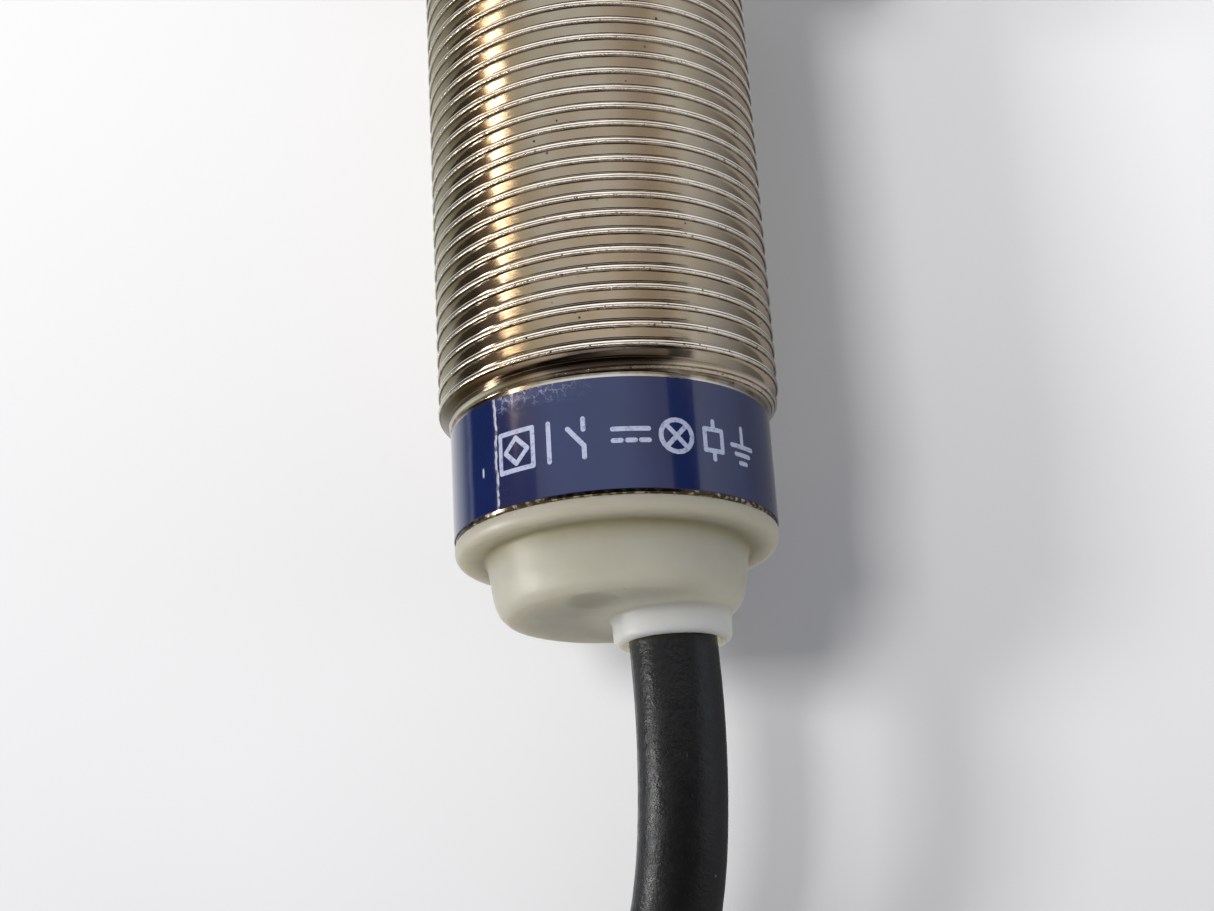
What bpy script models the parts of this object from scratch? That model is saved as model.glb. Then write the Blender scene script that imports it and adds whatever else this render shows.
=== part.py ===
"""A cylindrical inductive proximity sensor with a threaded M18 x 1 barrel, two nuts and a two metre cable.

The barrel lies along Y: the sensing face is at the origin and faces +Y, and the cable leaves at the
other end, towards -Y. The nuts' lower flats lie on the surface that the sensor rests on.
"""

from math import acos, cos, pi, sin, tan

import bmesh
import bpy
from mathutils import Vector

MM = 0.001

# Barrel: an M18 x 1 thread, then a plain seat that the label is wrapped around.
THREAD_R = 9.0 * MM
PITCH = 1.0 * MM
THREAD_DEPTH = 0.613 * MM
THREAD_STEPS = 24
FRONT_CHAMFER_R = 8.3 * MM
THREAD_END_Y = -50.5 * MM
LAND_R = 8.3 * MM
BARREL_END_Y = -57.4 * MM
BORE_R = 7.85 * MM

# Label: a printed foil, wrapped once round the seat.
LABEL_FRONT_Y = -51.5 * MM
LABEL_LENGTH = 5.72 * MM
LABEL_IN_R = 8.33 * MM
LABEL_OUT_R = 8.42 * MM

# Rear cap: flange, tapered cup and the cable's boss, with a plug that is pressed into the bore.
FLANGE_R = 8.38 * MM
FLANGE_FRONT_Y = -57.45 * MM
FLANGE_REAR_Y = -58.3 * MM
CUP_TOP_R = 6.78 * MM
CUP_END_R = 5.4 * MM
CUP_END_Y = -61.6 * MM
CAP_WALL = 1.2 * MM
PLUG_R = 7.65 * MM
PLUG_FRONT_Y = -53.0 * MM
BOSS_X = 2.55 * MM
BOSS_R = 3.03 * MM
BOSS_END_Y = -63.05 * MM
BOSS_BORE_GAP = 0.15 * MM
RECESS_AT = (-1.8 * MM, 4.2 * MM)
RECESS_R = 1.4 * MM
RECESS_DEPTH = 0.25 * MM

# Sensing end: the face cap's skirt steps in behind the seal ring, round the coil's ferrite core.
FACE_R = 7.7 * MM
FACE_THICK = 1.0 * MM
FACE_EDGE = 0.2 * MM
SKIRT_IN_R = 6.95 * MM
SKIRT_WALL = 0.35 * MM
SKIRT_STEP_Y = -5.0 * MM
SKIRT_END_Y = -8.4 * MM
SEAL_IN_R = 7.37 * MM
SEAL_FRONT_Y = -5.3 * MM
SEAL_REAR_Y = -6.1 * MM
CORE_R = 6.8 * MM
CORE_FRONT_Y = -1.2 * MM
CORE_REAR_Y = -6.2 * MM
CORE_POST_R = 2.5 * MM
CORE_WALL_IN_R = 5.8 * MM
CORE_FLOOR_Y = -4.7 * MM
BOBBIN_IN_R = 2.65 * MM
BOBBIN_HUB_R = 3.0 * MM
BOBBIN_RIM_R = 5.6 * MM
BOBBIN_FRONT_Y = -1.35 * MM
BOBBIN_REAR_Y = -4.5 * MM
BOBBIN_FLANGE = 0.35 * MM
WINDING_IN_R = 3.1 * MM
WINDING_OUT_R = 5.3 * MM
WINDING_FRONT_Y = -1.8 * MM
WINDING_REAR_Y = -4.05 * MM
SHIELD_HOLE_R = 1.2 * MM
SHIELD_FRONT_Y = -6.4 * MM
SHIELD_REAR_Y = -6.7 * MM
CARRIER_R = 6.7 * MM
CARRIER_FRONT_Y = -6.9 * MM
CARRIER_REAR_Y = -8.3 * MM
LEDGE_HALF_W = 4.0 * MM
LEDGE_REAR_Y = -13.0 * MM
LEDGE_LOW_Z = -3.2 * MM
LEDGE_HIGH_Z = -0.6 * MM

# Circuit board.
BOARD_HALF_W = 5.6 * MM
BOARD_HALF_T = 0.4 * MM
BOARD_FRONT_Y = -8.9 * MM
BOARD_REAR_Y = -46.0 * MM
SOLDER_GAP = 0.1 * MM
RESIN_R = 7.6 * MM
RESIN_TOP_Z = -0.9 * MM
RESIN_FRONT_Y = -14.0 * MM
RESIN_REAR_Y = -50.0 * MM

# Nuts and toothed lock washers.
NUT_FLATS = 24.0 * MM
NUT_THICK = 4.0 * MM
NUT_BORE_R = 9.1 * MM
WASHER_IN_R = 9.15 * MM
WASHER_THICK = 0.9 * MM
WASHER_ROOT_R = 10.9 * MM
WASHER_TOOTH_R = 11.7 * MM
WASHER_TEETH = 16
FRONT_NUT_Y = -1.0 * MM
REAR_NUT_Y = -16.0 * MM
NUT_TO_WASHER = 0.1 * MM

# Cable, and the hank that the rest of its two metres is folded into.
CABLE_R = 2.25 * MM
JACKET_FRONT_Y = -54.0 * MM
STUB_REAR_Y = -63.0 * MM
CLAMP_GAP = 0.1 * MM
CLAMP_WALL = 0.6 * MM
CLAMP_FRONT_Y = -56.0 * MM
CLAMP_REAR_Y = -58.0 * MM
CORE_WIRE_R = 0.65 * MM
FERRULE_R = 0.5 * MM
FERRULE_LENGTH = 5.0 * MM
FLOOR_Z = -NUT_FLATS / 2
HANK_X = 8.0 * MM
HANK_FRONT_Y = -105.0 * MM
HANK_RUN = 50.9 * MM
HANK_IN_R = 11.0 * MM
HANK_OUT_R = 20.5 * MM
HANK_BOTTOM_Z = FLOOR_Z + 0.95 * MM
HANK_TOP_Z = 11.7 * MM
TIE_THICK = 0.6 * MM
TIE_WIDTH = 3.5 * MM
TIE_Y = -130.0 * MM
GAP = 0.3 * MM

# The cable's own line from the boss to the hank, and the free end inside the hank, in mm.
LEAD_ROUTE = [
    (2.55, -63.35, 0.0),
    (2.64, -65.5, 0.0),
    (2.6, -68.5, -0.1),
    (2.42, -71.8, -0.5),
    (2.0, -75.2, -1.35),
    (1.1, -78.6, -2.6),
    (-0.35, -82.0, -4.0),
]
TAIL_ROUTE = [
    (16.3, -137.0, -9.7),
    (15.4, -133.5, -9.7),
    (14.6, -130.0, -9.7),
    (13.9, -126.0, -9.7),
    (13.5, -122.0, -9.7),
    (13.3, -118.0, -9.7),
]


# ---- helpers ----------------------------------------------------------------------------------


def clear_scene():
    for obj in list(bpy.data.objects):
        bpy.data.objects.remove(obj, do_unlink=True)


def finish_mesh(bm, name, material):
    """Turns a bmesh into a named object with its faces pointing out."""
    bmesh.ops.remove_doubles(bm, verts=bm.verts, dist=1e-7)
    bmesh.ops.recalc_face_normals(bm, faces=bm.faces)
    mesh = bpy.data.meshes.new(name)
    bm.to_mesh(mesh)
    bm.free()
    mesh.shade_smooth()
    mesh.set_sharp_from_angle(angle=pi / 6)
    obj = bpy.data.objects.new(name, mesh)
    bpy.context.scene.collection.objects.link(obj)
    if material is not None:
        obj.data.materials.append(material)
    return obj


def ring_of(bm, radius, y, steps, x=0.0, z=0.0):
    """One circle of points about a line along Y, or a single point where the radius is zero."""
    if radius == 0.0:
        return [bm.verts.new((x, y, z))]
    angles = [2 * pi * k / steps for k in range(steps)]
    return [bm.verts.new((x + radius * sin(a), y, z + radius * cos(a))) for a in angles]


def bridge_rings(bm, rings):
    """Faces between neighbouring rings."""
    for a, b in zip(rings, rings[1:]):
        steps = max(len(a), len(b))
        for k in range(steps):
            corners = [a[k % len(a)], a[(k + 1) % len(a)], b[(k + 1) % len(b)], b[k % len(b)]]
            corners = list(dict.fromkeys(corners))
            if len(corners) > 2:
                bm.faces.new(corners)


def turned(name, outline, steps, material, x=0.0, z=0.0):
    """A turned piece about a line along Y. The outline is (radius, y) points; it closes on itself
    unless both its ends lie on the axis."""
    bm = bmesh.new()
    rings = [ring_of(bm, r, y, steps, x, z) for r, y in outline]
    if outline[0][0] > 0.0:
        rings.append(rings[0])
    bridge_rings(bm, rings)
    return finish_mesh(bm, name, material)


def block(name, low, high, material, bevel=0.0):
    """A box between two corners, with its edges bevelled."""
    bm = bmesh.new()
    bmesh.ops.create_cube(bm, size=1.0)
    low, high = Vector(low), Vector(high)
    for v in bm.verts:
        v.co = (low + high) / 2 + Vector(a * b for a, b in zip(v.co, high - low))
    if bevel:
        bmesh.ops.bevel(bm, geom=bm.edges[:], offset=bevel, segments=1, affect="EDGES")
    return finish_mesh(bm, name, material)


def extruded(name, outer, inner, y0, y1, material):
    """A plate between two planes across Y, from an outline in X and Z with a hole of as many points."""
    bm = bmesh.new()
    rings = []
    for points, y in ((outer, y0), (outer, y1), (inner, y1), (inner, y0)):
        rings.append([bm.verts.new((x, y, z)) for x, z in points])
    rings.append(rings[0])
    bridge_rings(bm, rings)
    return finish_mesh(bm, name, material)


def cut(obj, cutter, operation="DIFFERENCE"):
    """Adds a Boolean whose other shape is left out of the model."""
    modifier = obj.modifiers.new(operation.title(), "BOOLEAN")
    modifier.operation = operation
    modifier.solver = "EXACT"
    modifier.object = cutter
    cutter.hide_render = True
    cutter.display_type = "WIRE"


def smooth_line(points, spacing):
    """Points about one spacing apart on a smooth curve through the given points."""
    knots = [Vector(p) for p in points]
    knots = [2 * knots[0] - knots[1]] + knots + [2 * knots[-1] - knots[-2]]
    line = [knots[1].copy()]
    for a, b, c, d in zip(knots, knots[1:], knots[2:], knots[3:]):
        steps = max(1, round((c - b).length / spacing))
        for k in range(1, steps + 1):
            t = k / steps
            line.append(
                0.5 * (2 * b + (c - a) * t + (2 * a - 5 * b + 4 * c - d) * t**2
                       + (3 * b - a - 3 * c + d) * t**3)
            )
    return line


def cord_tube(name, points, radius, resolution, material):
    """A round tube along a line of points, closed at both ends."""
    curve = bpy.data.curves.new(name, "CURVE")
    curve.dimensions = "3D"
    curve.bevel_depth = radius
    curve.bevel_resolution = resolution
    curve.use_fill_caps = True
    spline = curve.splines.new("POLY")
    spline.points.add(len(points) - 1)
    for point, place in zip(spline.points, points):
        point.co = (*place, 1.0)
    obj = bpy.data.objects.new(name, curve)
    bpy.context.scene.collection.objects.link(obj)
    curve.materials.append(material)
    return obj


def finish_of(name, colour, roughness, metallic=0.0, transmission=0.0):
    """One Principled material."""
    material = bpy.data.materials.new(name)
    material.use_nodes = True
    shader = material.node_tree.nodes["Principled BSDF"]
    shader.inputs["Base Color"].default_value = (*colour, 1.0)
    shader.inputs["Roughness"].default_value = roughness
    shader.inputs["Metallic"].default_value = metallic
    shader.inputs["Transmission Weight"].default_value = transmission
    material.diffuse_color = (*colour, 1.0)
    return material


# ---- finishes ---------------------------------------------------------------------------------


def nickel(name):
    return finish_of(name, (0.66, 0.60, 0.50), 0.25, 1.0)


def foil_blue(name):
    return finish_of(name, (0.03, 0.06, 0.25), 0.25)


def ivory_plastic(name):
    return finish_of(name, (0.72, 0.70, 0.60), 0.35, 0.0, 0.1)


def face_plastic(name):
    return finish_of(name, (0.62, 0.62, 0.58), 0.45)


def black_rubber(name):
    return finish_of(name, (0.02, 0.02, 0.02), 0.7)


def black_sheath(name):
    return finish_of(name, (0.012, 0.012, 0.015), 0.45)


def ferrite(name):
    return finish_of(name, (0.06, 0.055, 0.055), 0.6)


def copper(name):
    return finish_of(name, (0.72, 0.33, 0.17), 0.3, 1.0)


def board_green(name):
    return finish_of(name, (0.02, 0.16, 0.07), 0.5)


def chip_black(name):
    return finish_of(name, (0.03, 0.03, 0.03), 0.5)


def ceramic(name):
    return finish_of(name, (0.45, 0.33, 0.22), 0.5)


def lamp_amber(name):
    return finish_of(name, (0.85, 0.45, 0.05), 0.2, 0.0, 0.3)


def resin(name):
    return finish_of(name, (0.10, 0.09, 0.08), 0.3)


def tie_plastic(name):
    return finish_of(name, (0.05, 0.05, 0.05), 0.5)


WIRE_COLOURS = {
    "brown": (0.20, 0.08, 0.03),
    "blue": (0.02, 0.10, 0.45),
    "black": (0.02, 0.02, 0.02),
    "white": (0.75, 0.75, 0.72),
}


# ---- barrel and label -------------------------------------------------------------------------


def thread_radius(row, y):
    """Crest or root, held inside the chamfers at the thread's two ends."""
    radius = THREAD_R - (row % 2) * THREAD_DEPTH
    front = FRONT_CHAMFER_R + max(0.0, -y)
    rear = LAND_R + max(0.0, y - (THREAD_END_Y - (THREAD_R - LAND_R)))
    return min(radius, front, rear)


def housing_barrel():
    """The helix is a grid whose columns climb by a pitch in one turn, two rows to each pitch."""
    bm = bmesh.new()
    front_y = 0.0
    rear_y = THREAD_END_Y - (THREAD_R - LAND_R)
    rows = 2 * int(-rear_y / PITCH) + 8
    grid = {}
    for column in range(THREAD_STEPS):
        angle = 2 * pi * column / THREAD_STEPS
        for row in range(-3, rows):
            y = front_y + PITCH * (column / THREAD_STEPS - row / 2)
            y = max(rear_y, min(front_y, y))
            radius = thread_radius(row, y)
            grid[row, column] = bm.verts.new((radius * sin(angle), y, radius * cos(angle)))
    for column in range(THREAD_STEPS):
        for row in range(-1, rows - 1):
            right = (column + 1) % THREAD_STEPS
            shift = 2 if right == 0 else 0
            corners = [
                grid[row, column],
                grid[row - shift, right],
                grid[row + 1 - shift, right],
                grid[row + 1, column],
            ]
            bm.faces.new(corners)
    tail = [
        (LAND_R, rear_y),
        (LAND_R, BARREL_END_Y),
        (BORE_R, BARREL_END_Y),
        (BORE_R, front_y),
        (FRONT_CHAMFER_R, front_y),
    ]
    bridge_rings(bm, [ring_of(bm, r, y, THREAD_STEPS) for r, y in tail])
    bmesh.ops.remove_doubles(bm, verts=bm.verts, dist=1e-6)
    bmesh.ops.dissolve_degenerate(bm, edges=bm.edges, dist=1e-6)
    return finish_mesh(bm, "housing_barrel", nickel("nickel_plated_brass"))


def label_band():
    rear_y = LABEL_FRONT_Y - LABEL_LENGTH
    outline = [
        (LABEL_IN_R, LABEL_FRONT_Y),
        (LABEL_OUT_R, LABEL_FRONT_Y),
        (LABEL_OUT_R, rear_y),
        (LABEL_IN_R, rear_y),
    ]
    return turned("label_band", outline, 48, foil_blue("label_foil"))


# ---- rear cap and cable entry -----------------------------------------------------------------


def rear_cap():
    edge = 0.35 * MM
    inner_end_y = CUP_END_Y + CAP_WALL
    cavity_r = CUP_TOP_R - CAP_WALL
    mouth_r = PLUG_R - CAP_WALL
    fillet = [(CUP_END_R + 1.12 * MM * sin(k * pi / 8), CUP_END_Y + 1.12 * MM * (1 - cos(k * pi / 8)))
              for k in range(1, 4)]
    outline = [
        (0.0, CUP_END_Y),
        (CUP_END_R, CUP_END_Y),
        *fillet,
        (CUP_TOP_R, FLANGE_REAR_Y),
        (FLANGE_R - edge, FLANGE_REAR_Y),
        (FLANGE_R, FLANGE_REAR_Y + edge),
        (FLANGE_R, FLANGE_FRONT_Y),
        (PLUG_R, FLANGE_FRONT_Y),
        (PLUG_R, PLUG_FRONT_Y),
        (mouth_r, PLUG_FRONT_Y),
        (mouth_r, FLANGE_FRONT_Y),
        (cavity_r, FLANGE_REAR_Y),
        (cavity_r, inner_end_y),
        (0.0, inner_end_y),
    ]
    cap = turned("rear_cap", outline, 36, ivory_plastic("cap_plastic"))
    rim = 0.3 * MM
    boss_outline = [
        (0.0, BOSS_END_Y),
        (BOSS_R - rim, BOSS_END_Y),
        (BOSS_R, BOSS_END_Y + rim),
        (BOSS_R, inner_end_y - 0.2 * MM),
        (0.0, inner_end_y - 0.2 * MM),
    ]
    cut(cap, turned("boss_shape", boss_outline, 24, None, BOSS_X), "UNION")
    bore_r = CABLE_R + BOSS_BORE_GAP
    bore = [
        (0.0, BOSS_END_Y - MM),
        (bore_r, BOSS_END_Y - MM),
        (bore_r, inner_end_y + MM),
        (0.0, inner_end_y + MM),
    ]
    cut(cap, turned("cable_bore", bore, 24, None, BOSS_X))
    recess = [
        (0.0, CUP_END_Y - MM),
        (RECESS_R, CUP_END_Y - MM),
        (RECESS_R, CUP_END_Y + RECESS_DEPTH),
        (0.0, CUP_END_Y + RECESS_DEPTH),
    ]
    cut(cap, turned("gate_recess", recess, 16, None, *RECESS_AT))
    return cap


def cable_stub():
    """The jacket's last stretch, inside the cap and its boss."""
    outline = [(0.0, JACKET_FRONT_Y), (CABLE_R, JACKET_FRONT_Y), (CABLE_R, STUB_REAR_Y), (0.0, STUB_REAR_Y)]
    return turned("cable_stub", outline, 24, black_sheath("stub_sheath"), BOSS_X)


def cable_clamp_ring():
    inner, outer = CABLE_R + CLAMP_GAP, CABLE_R + CLAMP_GAP + CLAMP_WALL
    outline = [(inner, CLAMP_FRONT_Y), (outer, CLAMP_FRONT_Y), (outer, CLAMP_REAR_Y), (inner, CLAMP_REAR_Y)]
    return turned("cable_clamp_ring", outline, 24, nickel("clamp_metal"), BOSS_X)


def inner_wires():
    """The four cores, from the jacket's end to the pads on the circuit board."""
    pad_z = BOARD_HALF_T + CORE_WIRE_R + SOLDER_GAP
    off_centre = 0.9 * MM
    pad_spacing, bend_spacing = 2.4 * MM, 2.2 * MM
    pad_front_y, pad_rear_y, bend_y = -43.4 * MM, -45.2 * MM, -49.0 * MM
    for k, (colour, value) in enumerate(WIRE_COLOURS.items()):
        side = -1 if k < 2 else 1
        lift = 1 if k in (1, 2) else -1
        start = (BOSS_X + side * off_centre, JACKET_FRONT_Y + 0.7 * MM, lift * off_centre)
        bend = ((k - 1.2) * bend_spacing, bend_y, pad_z + (0.8 + 0.7 * lift) * MM)
        end = ((k - 1.5) * pad_spacing, pad_rear_y, pad_z)
        pad = ((k - 1.5) * pad_spacing, pad_front_y, pad_z)
        line = smooth_line([start, bend, end, pad], 1.8 * MM)
        wire = finish_of("inner_wire_" + colour, value, 0.4)
        cord_tube("inner_core_" + colour, line, CORE_WIRE_R, 1, wire)


# ---- sensing end ------------------------------------------------------------------------------


def sensing_face_cap():
    outline = [
        (0.0, 0.0),
        (FACE_R - FACE_EDGE, 0.0),
        (FACE_R, -FACE_EDGE),
        (FACE_R, SKIRT_STEP_Y),
        (SKIRT_IN_R + SKIRT_WALL, SKIRT_STEP_Y),
        (SKIRT_IN_R + SKIRT_WALL, SKIRT_END_Y),
        (SKIRT_IN_R, SKIRT_END_Y),
        (SKIRT_IN_R, -FACE_THICK),
        (0.0, -FACE_THICK),
    ]
    return turned("sensing_face_cap", outline, 36, face_plastic("face_plastic"))


def face_seal_ring():
    outline = [
        (SEAL_IN_R, SEAL_FRONT_Y),
        (FACE_R, SEAL_FRONT_Y),
        (FACE_R, SEAL_REAR_Y),
        (SEAL_IN_R, SEAL_REAR_Y),
    ]
    return turned("face_seal_ring", outline, 24, black_rubber("seal_rubber"))


def ferrite_pot_core():
    outline = [
        (0.0, CORE_FRONT_Y),
        (CORE_POST_R, CORE_FRONT_Y),
        (CORE_POST_R, CORE_FLOOR_Y),
        (CORE_WALL_IN_R, CORE_FLOOR_Y),
        (CORE_WALL_IN_R, CORE_FRONT_Y),
        (CORE_R, CORE_FRONT_Y),
        (CORE_R, CORE_REAR_Y),
        (0.0, CORE_REAR_Y),
    ]
    return turned("ferrite_pot_core", outline, 24, ferrite("ferrite"))


def coil_bobbin():
    outline = [
        (BOBBIN_IN_R, BOBBIN_FRONT_Y),
        (BOBBIN_RIM_R, BOBBIN_FRONT_Y),
        (BOBBIN_RIM_R, BOBBIN_FRONT_Y - BOBBIN_FLANGE),
        (BOBBIN_HUB_R, BOBBIN_FRONT_Y - BOBBIN_FLANGE),
        (BOBBIN_HUB_R, BOBBIN_REAR_Y + BOBBIN_FLANGE),
        (BOBBIN_RIM_R, BOBBIN_REAR_Y + BOBBIN_FLANGE),
        (BOBBIN_RIM_R, BOBBIN_REAR_Y),
        (BOBBIN_IN_R, BOBBIN_REAR_Y),
    ]
    return turned("coil_bobbin", outline, 20, face_plastic("bobbin_plastic"))


def coil_winding():
    outline = [
        (WINDING_IN_R, WINDING_FRONT_Y),
        (WINDING_OUT_R, WINDING_FRONT_Y),
        (WINDING_OUT_R, WINDING_REAR_Y),
        (WINDING_IN_R, WINDING_REAR_Y),
    ]
    return turned("coil_winding", outline, 20, copper("enamelled_wire"))


def shield_disc():
    outline = [
        (SHIELD_HOLE_R, SHIELD_FRONT_Y),
        (CARRIER_R, SHIELD_FRONT_Y),
        (CARRIER_R, SHIELD_REAR_Y),
        (SHIELD_HOLE_R, SHIELD_REAR_Y),
    ]
    return turned("shield_disc", outline, 20, copper("shield_copper"))


def coil_carrier():
    outline = [
        (0.0, CARRIER_FRONT_Y),
        (CARRIER_R, CARRIER_FRONT_Y),
        (CARRIER_R, CARRIER_REAR_Y),
        (0.0, CARRIER_REAR_Y),
    ]
    carrier = turned("coil_carrier", outline, 20, face_plastic("carrier_plastic"))
    low = (-LEDGE_HALF_W, LEDGE_REAR_Y, LEDGE_LOW_Z)
    high = (LEDGE_HALF_W, (CARRIER_FRONT_Y + CARRIER_REAR_Y) / 2, LEDGE_HIGH_Z)
    cut(carrier, block("carrier_ledge", low, high, None), "UNION")
    return carrier


# ---- electronics ------------------------------------------------------------------------------


def circuit_board():
    low = (-BOARD_HALF_W, BOARD_REAR_Y, -BOARD_HALF_T)
    high = (BOARD_HALF_W, BOARD_FRONT_Y, BOARD_HALF_T)
    return block("circuit_board", low, high, board_green("board_laminate"))


def board_parts():
    """Each component: its name, its centre on the board, its size along X, Y and Z, and its finish."""
    parts = [
        ("oscillator_chip", 0.0, -16.0, (5.0, 4.0, 1.5), chip_black),
        ("supply_capacitor", -3.2, -22.0, (2.5, 3.2, 1.6), ceramic),
        ("filter_capacitor", 3.4, -22.0, (1.6, 3.2, 1.2), ceramic),
        ("voltage_regulator", 0.0, -28.0, (4.5, 3.5, 1.6), chip_black),
        ("output_transistor", 2.8, -34.5, (3.0, 3.0, 1.1), chip_black),
        ("reverse_diode", -2.8, -34.5, (2.0, 4.2, 1.2), chip_black),
        ("sense_resistor", -2.4, -39.5, (1.6, 3.2, 0.6), chip_black),
        ("indicator_led", 4.4, -40.0, (1.2, 2.0, 1.0), lamp_amber),
    ]
    for name, x, y, size, finish in parts:
        w, d, h = size
        base = (BOARD_HALF_T + SOLDER_GAP) / MM
        low = Vector((x - w / 2, y - d / 2, base)) * MM
        high = Vector((x + w / 2, y + d / 2, base + h)) * MM
        block(name, low, high, finish(name + "_finish"), 0.12 * MM)


def potting_resin():
    """The resin under the board, between its underside and the barrel's lower wall."""
    steps = 18
    half = acos(-RESIN_TOP_Z / RESIN_R)
    angles = [pi - half + 2 * half * k / steps for k in range(steps + 1)]
    outline = [(RESIN_R * sin(a), RESIN_R * cos(a)) for a in angles]
    bm = bmesh.new()
    ends = [[bm.verts.new((x, y, z)) for x, z in outline] for y in (RESIN_FRONT_Y, RESIN_REAR_Y)]
    bm.faces.new(ends[0])
    bm.faces.new(ends[1])
    bridge_rings(bm, ends)
    return finish_mesh(bm, "potting_resin", resin("potting_resin_finish"))


# ---- nuts and washers -------------------------------------------------------------------------


def hexagon_nut(name, front_y):
    """A hexagon nut, chamfered at its corners and at the mouths of its bore, with a flat downwards."""
    corner_r = NUT_FLATS / 2 / cos(pi / 6)
    rear_y = front_y - NUT_THICK
    prism = [(0.0, front_y), (corner_r, front_y), (corner_r, rear_y), (0.0, rear_y)]
    nut = turned(name, prism, 6, nickel(name + "_finish"))
    for vertex in nut.data.vertices:
        x, y, z = vertex.co
        vertex.co = (x * cos(pi / 6) + z * sin(pi / 6), y, z * cos(pi / 6) - x * sin(pi / 6))
    face_r = NUT_FLATS / 2 - 0.35 * MM
    rise = (corner_r - face_r) * tan(pi / 6)
    over = 0.5 * MM
    cone = [
        (0.0, front_y),
        (face_r, front_y),
        (corner_r + over, front_y - rise - over * tan(pi / 6)),
        (corner_r + over, rear_y + rise + over * tan(pi / 6)),
        (face_r, rear_y),
        (0.0, rear_y),
    ]
    cut(nut, turned(name + "_corners", cone, 48, None), "INTERSECT")
    mouth = 0.5 * MM
    bore = [
        (0.0, front_y + MM),
        (NUT_BORE_R + mouth + MM, front_y + MM),
        (NUT_BORE_R, front_y - mouth),
        (NUT_BORE_R, rear_y + mouth),
        (NUT_BORE_R + mouth + MM, rear_y - MM),
        (0.0, rear_y - MM),
    ]
    cut(nut, turned(name + "_bore", bore, 48, None))
    return nut


def lock_washer(name, front_y):
    """A flat washer with teeth round its rim."""
    steps = WASHER_TEETH * 4
    inner, outer = [], []
    for k in range(steps):
        angle = 2 * pi * k / steps
        rim = WASHER_TOOTH_R if k % 4 in (0, 1) else WASHER_ROOT_R
        outer.append((rim * sin(angle), rim * cos(angle)))
        inner.append((WASHER_IN_R * sin(angle), WASHER_IN_R * cos(angle)))
    return extruded(name, outer, inner, front_y, front_y - WASHER_THICK, nickel(name + "_finish"))


def fasteners():
    hexagon_nut("front_nut", FRONT_NUT_Y)
    lock_washer("front_lock_washer", FRONT_NUT_Y - NUT_THICK - NUT_TO_WASHER)
    lock_washer("rear_lock_washer", REAR_NUT_Y + NUT_TO_WASHER + WASHER_THICK)
    hexagon_nut("rear_nut", REAR_NUT_Y)


# ---- cable ------------------------------------------------------------------------------------


def stadium(radius, steps):
    """A run with round ends, seen from above, as (x, y) points about the hank's front fold."""
    points = []
    for centre_y, start in ((0.0, 0.0), (-HANK_RUN, pi)):
        for k in range(steps + 1):
            angle = start + pi * k / steps
            points.append((HANK_X + radius * cos(angle), HANK_FRONT_Y + centre_y + radius * sin(angle)))
    return points


def cable_hank():
    """The outer shape of the folded cable: two runs joined by a fold at each end."""
    steps = 16
    outer, inner = stadium(HANK_OUT_R, steps), stadium(HANK_IN_R, steps)
    bm = bmesh.new()
    rings = []
    for points, z in (
        (outer, HANK_BOTTOM_Z),
        (outer, HANK_TOP_Z),
        (inner, HANK_TOP_Z),
        (inner, HANK_BOTTOM_Z),
    ):
        rings.append([bm.verts.new((x, y, z)) for x, y in points])
    rings.append(rings[0])
    bridge_rings(bm, rings)
    return finish_mesh(bm, "cable_hank", black_sheath("hank_sheath"))


def hank_tie(name, side):
    """A strap round one run of the hank, just clear of it."""
    near = HANK_X + side * (HANK_IN_R - GAP)
    far = HANK_X + side * (HANK_OUT_R + GAP)
    low, high = HANK_BOTTOM_Z - GAP, HANK_TOP_Z + GAP

    def frame(grow):
        left, right = min(near, far) - grow, max(near, far) + grow
        corner = 0.8 * MM
        points = []
        for x, z, start in (
            (right - corner, high + grow - corner, 0.0),
            (left + corner, high + grow - corner, 0.5 * pi),
            (left + corner, low - grow + corner, pi),
            (right - corner, low - grow + corner, 1.5 * pi),
        ):
            for k in range(3):
                angle = start + 0.25 * pi * k
                points.append((x + corner * cos(angle), z + corner * sin(angle)))
        return points

    y = TIE_Y + TIE_WIDTH / 2
    return extruded(name, frame(TIE_THICK), frame(0.0), y, y - TIE_WIDTH, tie_plastic(name + "_finish"))


def cable_end():
    """The stripped end: four cores that fan out of the jacket, each in a crimped ferrule."""
    start_x, start_y, start_z = (c * MM for c in TAIL_ROUTE[-1])
    down_z = FLOOR_Z + CORE_WIRE_R + 0.05 * MM
    for k, (colour, value) in enumerate(WIRE_COLOURS.items()):
        side = (k - 1.5) / 1.5
        lift = 0.75 * MM * (1 if k in (1, 2) else -1)
        nest = (-1 if k < 2 else 1) * 0.75 * MM
        begin = (start_x + nest, start_y + GAP, start_z + lift)
        middle = (start_x + 2.2 * side * MM, start_y + 5.0 * MM, (start_z + down_z) / 2 + lift / 2)
        end = (start_x + 3.6 * side * MM, start_y + 10.5 * MM, down_z)
        line = smooth_line([begin, middle, end], 2.0 * MM)
        wire = finish_of("end_wire_" + colour, value, 0.4)
        cord_tube("end_core_" + colour, line, CORE_WIRE_R, 1, wire)
        way = Vector(end) - Vector(middle)
        way.z = 0.0
        way.normalize()
        tip = [Vector(end) + way * (GAP + s * FERRULE_LENGTH) for s in (0.0, 0.5, 1.0)]
        cord_tube("end_ferrule_" + colour, tip, FERRULE_R, 1, nickel("ferrule_" + colour))


def cable():
    lead = smooth_line([Vector(p) * MM for p in LEAD_ROUTE], 4.5 * CABLE_R)
    cord_tube("cable_lead", lead, CABLE_R, 2, black_sheath("lead_sheath"))
    cable_hank()
    tail = smooth_line([Vector(p) * MM for p in TAIL_ROUTE], 4.5 * CABLE_R)
    cord_tube("cable_tail", tail, CABLE_R, 2, black_sheath("tail_sheath"))
    hank_tie("hank_tie_left", -1)
    hank_tie("hank_tie_right", 1)
    cable_end()


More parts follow.
